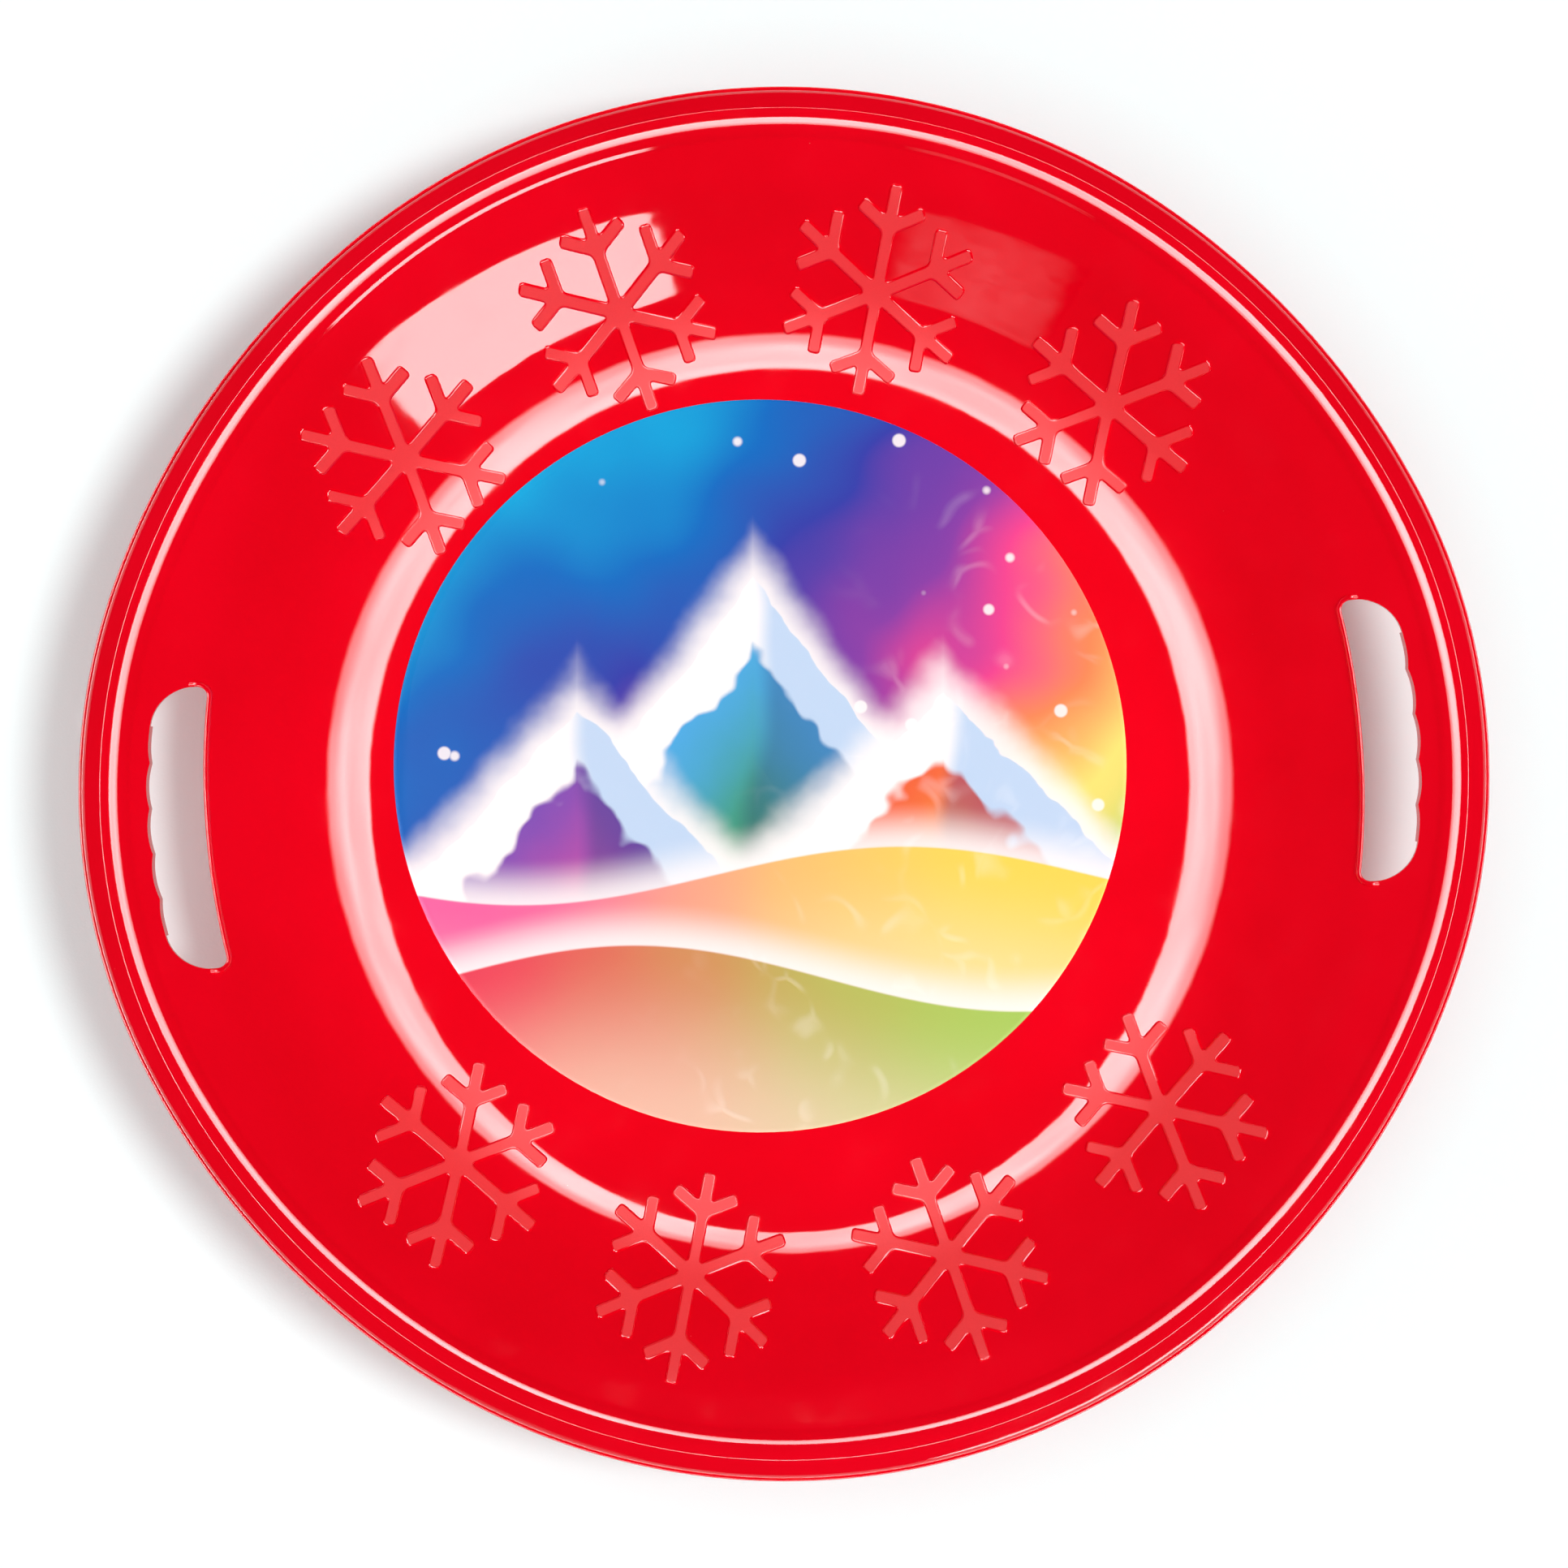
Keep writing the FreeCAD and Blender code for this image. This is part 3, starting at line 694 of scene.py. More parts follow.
@dataclass(frozen=True)
class PrintedFilm:
    """Glossy film printed with snowy peaks under a rainbow sky, with painted highlight along its creases."""

    centre: Vector
    radius: float
    turn: float
    name: str = "printed_film"
    sky: tuple[tuple[float, Colour], ...] = (
        (0.00, paint(0, 172, 222)),
        (0.17, paint(0, 104, 190)),
        (0.33, paint(48, 58, 166)),
        (0.45, paint(132, 58, 162)),
        (0.56, paint(232, 64, 140)),
        (0.68, paint(246, 134, 84)),
        (0.83, paint(244, 226, 116)),
        (1.00, paint(176, 206, 104)),
    )
    white: Colour = paint(252, 250, 248)
    glow: Colour = paint(252, 238, 214)
    shade: Colour = paint(40, 52, 120)
    snow_shade: Colour = paint(190, 214, 240)
    # Each peak has its place across, its height, how steep it is, and its upper and lower colours
    peaks: tuple[tuple[float, float, float, tuple[Colour, Colour]], ...] = (
        (-0.02, 0.52, 1.35, (paint(74, 168, 226), paint(60, 150, 84))),
        (-0.5, 0.16, 1.1, (paint(120, 74, 176), paint(222, 74, 148))),
        (0.5, 0.2, 1.0, (paint(236, 96, 54), paint(246, 196, 84))),
    )
    # Each hill has its height, how much it swells, its shift along, and its left and right colours
    hills: tuple[tuple[float, float, float, Colour, Colour], ...] = (
        (-0.3, 0.08, 0.4, paint(238, 96, 158), paint(246, 214, 84)),
        (-0.58, 0.09, 2.6, paint(226, 60, 84), paint(166, 204, 92)),
    )
    roughness: float = 0.24
    index: float = 1.2
    crease_depth: float = 0.12 * MM
    # Sizes on the print are shares of its radius, and a pair is where a soft ramp starts and ends
    outline: tuple[float, float] = (-0.004, 0.004)
    sky_across: float = 0.34
    sky_down: float = 0.36
    sky_drift: float = 0.55
    drift_size: float = 0.8
    flake_count: float = 7.0
    flake_edge: tuple[float, float] = (0.15, 0.1)
    flake_share: float = 0.8
    ridge_size: float = 0.2
    ridge_wobble: float = 0.14
    rock_fade: tuple[float, float] = (0.1, 0.8)
    shade_drift: float = 0.3
    shade_edge: tuple[float, float] = (-0.03, 0.05)
    shade_share: float = 0.45
    cap_size: float = 0.13
    cap_wobble: float = 0.3
    cap_edge: tuple[float, float] = (0.36, 0.32)
    peak_halo: tuple[float, float] = (-0.17, 0.01)
    peak_halo_share: float = 0.9
    swell_rate: float = 3.0
    hill_drift: float = 0.6
    hill_fade: tuple[float, float] = (-0.85, 0.75)
    slope_fade: tuple[float, float] = (0.0, 0.5)
    slope_share: float = 0.5
    hill_halo: tuple[float, float] = (-0.13, 0.01)
    hill_halo_share: float = 0.85
    crease_bends: float = 2.0
    crease_count: float = 5.0
    crease_width: float = 0.12
    crease_size: float = 0.16
    crease_ends: tuple[float, float] = (0.5, 0.68)
    crease_lean: float = 0.5
    crease_side: tuple[float, float] = (-0.1, 0.5)
    # The white along the creases is painted highlight, light caught on the wrinkled film
    crease_painted_highlight: float = 0.14
    crease_roughness: float = 0.1

    def landscape(self, graph: Graph, x: Value, y: Value, place: Value) -> Value:
        """Paint the sky with falling snow, the peaks and the hills.

        Args:
            graph: the material's graph.
            x: the place across the print, from -1 to 1.
            y: the place up the print, from -1 to 1.
            place: both as coordinates.

        Returns:
            The colour.
        """
        drift = graph.cloud(place, self.drift_size) - 0.5
        flow = x * self.sky_across - y * self.sky_down + drift * self.sky_drift + 0.5
        colour = graph.node("ShaderNodeValToRGB", {"stops": self.sky}, {0: flow})
        flakes = graph.cells(place, self.flake_count).step(*self.flake_edge)
        colour = graph.mix(flakes * self.flake_share, colour, self.white)
        wobble = (graph.cloud(place, self.ridge_size, detail=3.0) - 0.5) * self.ridge_wobble
        cap_wobble = graph.cloud(place, self.cap_size, detail=1.0) * self.cap_wobble
        for across, top, steep, colours in self.peaks:
            below = top - abs(x - across) * steep + wobble - y
            shade = (x - across + drift * self.shade_drift).step(*self.shade_edge)
            rock = graph.mix(below.step(*self.rock_fade), *colours)
            rock = graph.mix(shade * self.shade_share, rock, self.shade)
            cap = graph.mix(shade, self.white, self.snow_shade)
            rock = graph.mix((below + cap_wobble).step(*self.cap_edge), rock, cap)
            colour = graph.mix(below.step(*self.peak_halo) * self.peak_halo_share, colour, self.white)
            colour = graph.mix(below.step(*self.outline), colour, rock)
        for base, swell, shift, left, right in self.hills:
            below = graph.math("SINE", x * self.swell_rate + shift) * swell + base - y
            along = (x + drift * self.hill_drift).step(*self.hill_fade)
            slope = graph.mix(along, left, right)
            slope = graph.mix(below.step(*self.slope_fade) * self.slope_share, slope, self.glow)
            colour = graph.mix(below.step(*self.hill_halo) * self.hill_halo_share, colour, self.white)
            colour = graph.mix(below.step(*self.outline), colour, slope)
        return colour

    def material(self) -> bpy.types.Material:
        """Build the material and return it."""
        material, graph = new_graph(self.name)
        size = (self.radius,) * 3
        turn = (0.0, 0.0, self.turn)
        spots = {"Vector": graph.place(), "Location": self.centre, "Rotation": turn, "Scale": size}
        place = graph.node("ShaderNodeMapping", {"vector_type": "TEXTURE"}, spots)
        x, y = graph.part(place, "X"), graph.part(place, "Y")
        colour = self.landscape(graph, x, y, place)
        bends = {"Vector": place, "Scale": self.crease_bends, "Detail": 2.0}
        drift = graph.node("ShaderNodeTexNoise", None, bends, "Color")
        bent = graph.node("ShaderNodeVectorMath", {"operation": "ADD"}, {0: place, 1: drift})
        line = graph.cells(bent, self.crease_count, "DISTANCE_TO_EDGE").step(self.crease_width, 0.0)
        short = graph.cloud(place, self.crease_size, detail=1.0).step(*self.crease_ends)
        crease = line * short * (x - y * self.crease_lean).step(*self.crease_side)
        # The creases are bumped and rougher, and lightened with white as painted highlight
        graph.show_surface({
            "Base Color": graph.mix(crease * self.crease_painted_highlight, colour, self.white),
            "Roughness": crease * self.crease_roughness + self.roughness,
            "IOR": self.index,
            "Normal": graph.bump(crease, self.crease_depth),
        })
        return material


@dataclass(frozen=True)
class Adhesive:
    """The milky layer of adhesive under the film."""

    name: str = "milky_adhesive"
    colour: Colour = paint(236, 234, 228)
    deep_colour: Colour = paint(220, 216, 206)
    roughness: float = 0.45
    streak_roughness: float = 0.2
    streak_size: float = 6 * MM
    streak_depth: float = 0.02 * MM

    def material(self) -> bpy.types.Material:
        """Build the material and return it."""
        material, graph = new_graph(self.name)
        streak = graph.cloud(graph.place(), self.streak_size, detail=4.0)
        graph.show_surface({
            "Base Color": graph.mix(streak, self.deep_colour, self.colour),
            "Roughness": streak * self.streak_roughness + self.roughness,
            "Normal": graph.bump(streak, self.streak_depth),
        })
        return material


@dataclass(frozen=True)
class PaleFloor:
    """The pale paper that the object lies on, which shows white and keeps the shadow."""

    name: str = "pale_floor"
    colour: Colour = (0.87, 0.98, 0.98, 1.0)
    lift: float = 0.07
    grain_size: float = 1.2 * MM
    grain_depth: float = 0.05 * MM

    def material(self) -> bpy.types.Material:
        """Build the material and return it."""
        material, graph = new_graph(self.name)
        seen = graph.node("ShaderNodeLightPath", output="Is Camera Ray")
        glossy = graph.node("ShaderNodeLightPath", output="Is Glossy Ray")
        through = graph.node("ShaderNodeLightPath", output="Is Transmission Ray")
        shown = graph.math("MINIMUM", seen + glossy + through, 1.0)
        grain = graph.cloud(graph.place(), self.grain_size, detail=3.0)
        inputs = {"Color": self.colour, "Normal": graph.bump(grain, self.grain_depth)}
        paper = graph.node("ShaderNodeBsdfDiffuse", None, inputs)
        glow = graph.node("ShaderNodeEmission", None, {"Strength": shown * self.lift})
        lit = graph.node("ShaderNodeAddShader", None, {0: paper, 1: glow})
        clear = graph.node("ShaderNodeBsdfTransparent")
        below = graph.node("ShaderNodeNewGeometry", output="Backfacing")
        graph.show(graph.node("ShaderNodeMixShader", None, {0: below, 1: lit, 2: clear}))
        return material


def new_object(name: str, mesh: bmesh.types.BMesh, *finishes: bpy.types.Material) -> bpy.types.Object:
    """Make an object of the scene.

    Args:
        name: its name.
        mesh: its mesh, which is used up.
        finishes: the materials of its faces.

    Returns:
        The object.
    """
    data = bpy.data.meshes.new(name)
    mesh.to_mesh(data)
    mesh.free()
    for finish in finishes:
        data.materials.append(finish)
    made = bpy.data.objects.new(name, data)
    bpy.context.scene.collection.objects.link(made)
    return made


@dataclass
class Piece:
    """A mesh of the object: its name, the record's slot for its finish, which nothing reads, and the node
    that it replaces.
    """

    name: str
    slot: str
    replaced: str = ""

    def add(self, mesh: bmesh.types.BMesh, finishes: list[bpy.types.Material],
            sharp: float) -> bpy.types.Object:
        """Make the piece from a finished mesh and set it on the part's body.

        Args:
            mesh: the mesh, which is used up.
            finishes: the materials of its faces.
            sharp: the angle between faces above which an edge shows.

        Returns:
            The piece.
        """
        made = new_object(self.name, mesh, *finishes)
        made.data.shade_smooth()
        made.data.set_sharp_from_angle(angle=sharp)
        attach(made, BODY)
        if self.replaced:
            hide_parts(self.replaced)
        LOG.info("%s: %d faces", self.name, len(made.data.polygons))
        return made


def combine(base: bmesh.types.BMesh, tool: bmesh.types.BMesh, operation: str) -> bmesh.types.BMesh:
    """Join two closed meshes, or cut one by the other.

    Args:
        base: the mesh to keep, which is used up.
        tool: the mesh to join or cut with, which is used up.
        operation: "UNION" or "DIFFERENCE".

    Returns:
        The result.
    """
    kept = new_object("combine_base", base)
    used = new_object("combine_tool", tool)
    modifier = kept.modifiers.new("combine", "BOOLEAN")
    modifier.operation = operation
    modifier.solver = "EXACT"
    modifier.object = used
    bpy.context.view_layer.update()
    evaluated = kept.evaluated_get(bpy.context.evaluated_depsgraph_get())
    result = bmesh.new()
    result.from_mesh(evaluated.data)
    for made in (kept, used):
        data = made.data
        bpy.data.objects.remove(made)
        bpy.data.meshes.remove(data)
    return result


def face_outwards(mesh: bmesh.types.BMesh) -> None:
    """Merge doubles and turn all faces outwards."""
    bmesh.ops.remove_doubles(mesh, verts=mesh.verts, dist=MERGE)
    bmesh.ops.recalc_face_normals(mesh, faces=mesh.faces)


def turn_about_axis(mesh: bmesh.types.BMesh, angle: float) -> None:
    """Turn a mesh about the dish's axis."""
    bmesh.ops.rotate(mesh, verts=mesh.verts, cent=Vector(), matrix=Matrix.Rotation(angle, 3, "Z"))


def spin_section(mesh: bmesh.types.BMesh, turns: int) -> None:
    """Spin a section once round the vertical axis, in a number of small turns."""
    bmesh.ops.spin(mesh, geom=[*mesh.verts, *mesh.edges], cent=Vector(), axis=UP, angle=math.tau,
                   steps=turns, use_merge=True)


@dataclass
class Dish:
    """The moulded shell with its hand slots and finger grips."""

    form: DishForm
    slot: SlotForm
    finish: bpy.types.Material
    grip_drop: float = 10.0 * MM
    grip_wall: float = 2.5 * MM
    grip_top: float = 1.1 * MM
    cut_margin: float = 30.0 * MM
    sharp: float = math.radians(38.0)
    turns: int = 320
    upper_steps: Steps = Steps(floor=10, round=14, wall=28, shelf=4, bead=18)
    under_steps: Steps = Steps(floor=6, round=12, wall=22, shelf=4, bead=10)
    hollow_steps: int = 6
    brow_steps: int = 8
    flank_steps: int = 6
    shoulder_steps: int = 6
    riser_steps: int = 2
    lip_steps: int = 5
    lip_round_steps: int = 4
    grip_steps: int = 40
    finger_steps: int = 5
    outer_end_steps: int = 6
    outer_corner_steps: int = 12
    inner_corner_steps: int = 8
    inner_side_steps: int = 36

    def draw_rim(self, pen: Pen, face: Face) -> None:
        """Draw the shelf, the hollow at the bead's foot, the bead and its outer flank, from the pen's end.

        Args:
            pen: the pen; on the upper face it comes from the wall, on the under face from the lip.
            face: which face of the wall is drawn.
        """
        form = self.form
        offset = face.value * form.wall
        hollow = form.bead_foot_fillet + offset
        to_hollow = form.foot_centre - form.bead_centre
        bead_end = math.atan2(to_hollow.z, to_hollow.x)
        step = form.rim_radius - form.lip_width - offset
        shelf = form.shelf_angle - RIGHT_ANGLE
        flank = in_section(1, -math.tan(form.flank_angle))
        if face is Face.UPPER:
            pen.line(turned_in_section(form.foot_centre, hollow, shelf), self.upper_steps.shelf)
            pen.arc(form.foot_centre, bead_end - math.pi - shelf, self.hollow_steps)
            pen.arc(form.bead_centre, RIGHT_ANGLE - bead_end, self.upper_steps.bead)
            brow = form.bead_centre + UP * (form.bead_radius - form.brow_round)
            pen.arc(brow, -form.flank_angle, self.brow_steps)
            turned = math.sin(form.shoulder_angle) - math.sin(form.flank_angle)
            run = step - form.shoulder_round * turned - pen.tip.co.x
            pen.line(pen.tip.co + run * flank, self.flank_steps)
            shoulder = turned_in_section(pen.tip.co, -form.shoulder_round, RIGHT_ANGLE - form.flank_angle)
            pen.arc(shoulder, form.flank_angle - form.shoulder_angle, self.shoulder_steps)
        else:
            bead = form.bead_radius - offset
            to_brow = form.bead_radius - form.brow_round
            to_flank = to_brow * math.cos(form.flank_angle) + form.brow_round - offset
            bead_start = RIGHT_ANGLE - form.flank_angle + math.acos(to_flank / bead)
            crest = turned_in_section(form.bead_centre, bead, bead_start)
            pen.line(crest + (step - crest.x) * flank, self.riser_steps)
            pen.line(crest, self.flank_steps)
            pen.arc(form.bead_centre, bead_end - bead_start, self.under_steps.bead)
            pen.arc(form.foot_centre, shelf - bead_end + math.pi, self.hollow_steps)

    def draw_lip(self, pen: Pen) -> None:
        """Draw the step down from the bead and the lip, round its edge to its underside."""
        form = self.form
        edge = form.lip_round
        step = form.rim_radius - form.lip_width
        top = form.lip_height
        base = top - form.wall
        pen.line(in_section(step, top + edge), self.riser_steps)
        pen.arc(in_section(step + edge, top + edge), RIGHT_ANGLE, self.lip_round_steps)
        pen.line(in_section(form.rim_radius - edge, top), self.lip_steps)
        pen.arc(in_section(form.rim_radius - edge, top - edge), -RIGHT_ANGLE, self.lip_round_steps)
        pen.line(in_section(form.rim_radius, base + edge))
        pen.arc(in_section(form.rim_radius - edge, base + edge), -RIGHT_ANGLE, self.lip_round_steps)
        pen.line(in_section(step - form.wall, base), self.riser_steps)

    def mouth(self, face: Face) -> Vector:
        """Return where wall and shelf meet on a face of the round dish."""
        form = self.form
        rise = form.bowl_height(form.rim_radius, face) - form.shelf_height(0, face)
        radius = form.rim_radius - rise / (math.tan(form.wall_angle) - math.tan(form.shelf_angle))
        return in_section(radius, form.bowl_height(radius, face))

    def shell(self) -> bmesh.types.BMesh:
        """Turn the dish's section once round and move it to the lobed plan."""
        form, upper, under = self.form, self.upper_steps, self.under_steps
        mesh = bmesh.new()
        pen = Pen(mesh, in_section(0, form.wall), SECTION_AXIS)
        pen.line(in_section(form.floor_radius, form.wall), upper.floor)
        pen.arc(form.round_centre, form.wall_angle, upper.round)
        pen.line(self.mouth(Face.UPPER), upper.wall)
        self.draw_rim(pen, Face.UPPER)
        self.draw_lip(pen)
        self.draw_rim(pen, Face.UNDER)
        pen.line(self.mouth(Face.UNDER), under.shelf)
        straight = form.round_centre.x + (form.floor_round + form.wall) * math.sin(form.wall_angle)
        pen.line(in_section(straight, form.bowl_height(straight, Face.UNDER)), under.wall)
        pen.arc(form.round_centre, -form.wall_angle, under.round)
        pen.line(in_section(0, 0), under.floor)
        spin_section(mesh, self.turns)
        for vertex in mesh.verts:
            vertex.co = form.lobed(vertex.co)
        face_outwards(mesh)
        return mesh

    def grip(self) -> bmesh.types.BMesh:
        """Make the skirt under one slot's outer side, before the fingers are cut into it."""
        slot = self.slot
        low = self.form.foot_height - self.grip_drop
        high = self.form.foot_height - self.grip_top
        mesh = bmesh.new()
        near = slot.outer_arc - self.grip_wall
        far = slot.outer_arc + self.grip_wall
        pen = Pen(mesh, slot.outer_centre + in_section(near, low), SECTION_AXIS)
        for radius, height in ((far, low), (far, high), (near, high), (near, low)):
            pen.line(slot.outer_centre + in_section(radius, height))
        start = pen.close()
        turn = Matrix.Rotation(-slot.outer_end, 3, "Z")
        bmesh.ops.rotate(mesh, verts=mesh.verts, cent=slot.outer_centre, matrix=turn)
        bmesh.ops.spin(mesh, geom=[start, *start.edges, *start.verts], cent=slot.outer_centre, axis=UP,
                       angle=2 * slot.outer_end, steps=self.grip_steps)
        face_outwards(mesh)
        return mesh

    def draw_fingers(self, pen: Pen) -> None:
        """Draw a slot's outer side upwards: hollows for the fingers with points between them."""
        slot = self.slot
        pitch = slot.finger_pitch / slot.outer_arc
        radius = slot.finger_hollow
        ring = slot.outer_arc - radius
        row = math.floor(slot.outer_end / pitch)
        point = ring * math.cos(pitch / 2) + math.sqrt(radius ** 2 - (ring * math.sin(pitch / 2)) ** 2)
        spread = math.atan2(point * math.sin(pitch / 2), point * math.cos(pitch / 2) - ring)
        pen.arc(slot.outer_centre, slot.outer_end - row * pitch, self.outer_end_steps)
        for hollow in range(-row, row + 1):
            centre = on_circle(slot.outer_centre, ring, hollow * pitch)
            halves = (hollow > -row) + (hollow < row)
            pen.arc(centre, halves * spread, self.finger_steps * halves)
        pen.arc(slot.outer_centre, slot.outer_end - row * pitch, self.outer_end_steps)

    def slot_cut(self) -> bmesh.types.BMesh:
        """Make the block that cuts one hand slot through the shell and its grip."""
        slot = self.slot
        inner, outer = slot.inner_corner_at, slot.outer_corner_at
        outer_turn = RIGHT_ANGLE - slot.outer_end
        inner_turn = RIGHT_ANGLE + slot.inner_end
        mesh = bmesh.new()
        pen = Pen(mesh, on_circle(slot.outer_centre, slot.outer_arc, -slot.outer_end), UP)
        self.draw_fingers(pen)
        pen.arc(outer, outer_turn, self.outer_corner_steps)
        pen.line(Vector((inner.x, slot.half, 0)))
        pen.arc(inner, inner_turn, self.inner_corner_steps)
        pen.arc(slot.inner_centre, -2 * slot.inner_end, self.inner_side_steps)
        pen.arc(inner * MIRROR, inner_turn, self.inner_corner_steps)
        pen.line(Vector((outer.x, -slot.half, 0)))
        pen.arc(outer * MIRROR, outer_turn, self.outer_corner_steps)
        plan = pen.close()
        raised = bmesh.ops.extrude_face_region(mesh, geom=[plan])["geom"]
        top = [item for item in raised if isinstance(item, bmesh.types.BMVert)]
        bmesh.ops.translate(mesh, verts=top, vec=UP * (self.form.crest_height + self.cut_margin))
        face_outwards(mesh)
        return mesh

    def build(self) -> bpy.types.Object:
        """Build the dish and return it."""
        mesh = self.shell()
        for side in Side:
            for made, operation in ((self.grip(), "UNION"), (self.slot_cut(), "DIFFERENCE")):
                turn_about_axis(made, side.value)
                mesh = combine(mesh, made, operation)
        return Piece("dish_shell", "dish_plastic", "dish").add(mesh, [self.finish], self.sharp)


@dataclass
class SlotLip:
    """The thin raised bead along a hand slot's inner edge, curled round its corners."""

    form: DishForm
    slot: SlotForm
    finish: bpy.types.Material
    side: Side
    radius: float = 1.15 * MM
    height: float = 1.6 * MM
    edge_cover: float = 0.25 * MM
    straight_end: float = 5.0 * MM
    sink: float = 2.4 * MM
    section_steps: int = 14
    end_steps: int = 4
    corner_steps: int = 10
    side_steps: int = 60

    def build(self) -> bpy.types.Object:
        """Sweep the bead along the slot's edge and return it."""
        slot = self.slot
        offset = self.radius - self.edge_cover
        corner = slot.inner_corner_at
        end = corner.x + self.straight_end
        inner_turn = RIGHT_ANGLE + slot.inner_end
        mesh = bmesh.new()
        made = bmesh.ops.create_circle(mesh, cap_ends=True, segments=self.section_steps, radius=self.radius)
        upright = Matrix.Rotation(RIGHT_ANGLE, 3, "Y")
        bmesh.ops.rotate(mesh, verts=made["verts"], cent=Vector(), matrix=upright)
        start = Vector((end, -slot.half - offset, self.height - self.radius))
        bmesh.ops.translate(mesh, verts=made["verts"], vec=start)
        section = [*mesh.faces, *mesh.edges, *mesh.verts]
        along = Vector((-self.straight_end, 0, 0))
        section = self.extend(mesh, section, along)
        for centre, angle, steps in (
            (corner * MIRROR, -inner_turn, self.corner_steps),
            (slot.inner_centre, 2 * slot.inner_end, self.side_steps),
            (corner, -inner_turn, self.corner_steps),
        ):
            turned = bmesh.ops.spin(mesh, geom=section, cent=centre, axis=UP, angle=angle, steps=steps)
            section = turned["geom_last"]
        self.extend(mesh, section, -along)
        face_outwards(mesh)
        for vertex in mesh.verts:
            dip = smooth_step((vertex.co.x - corner.x) / self.straight_end) * self.sink
            vertex.co.z += self.form.height(vertex.co.x, vertex.co.y) - dip
        turn_about_axis(mesh, self.side.value)
        name = f"slot_lip_{self.side.name.lower()}"
        return Piece(name, "dish_plastic").add(mesh, [self.finish], math.pi)

    def extend(self, mesh: bmesh.types.BMesh, section: list, along: Vector) -> list:
        """Carry the section on in a straight line.

        Args:
            mesh: the mesh.
            section: the section's faces, edges and vertices.
            along: how far and which way.

        Returns:
            The section at the new end.
        """
        made = bmesh.ops.spin(mesh, geom=section, cent=Vector(), axis=UP, dvec=along / self.end_steps,
                              angle=0, steps=self.end_steps)
        return made["geom_last"]


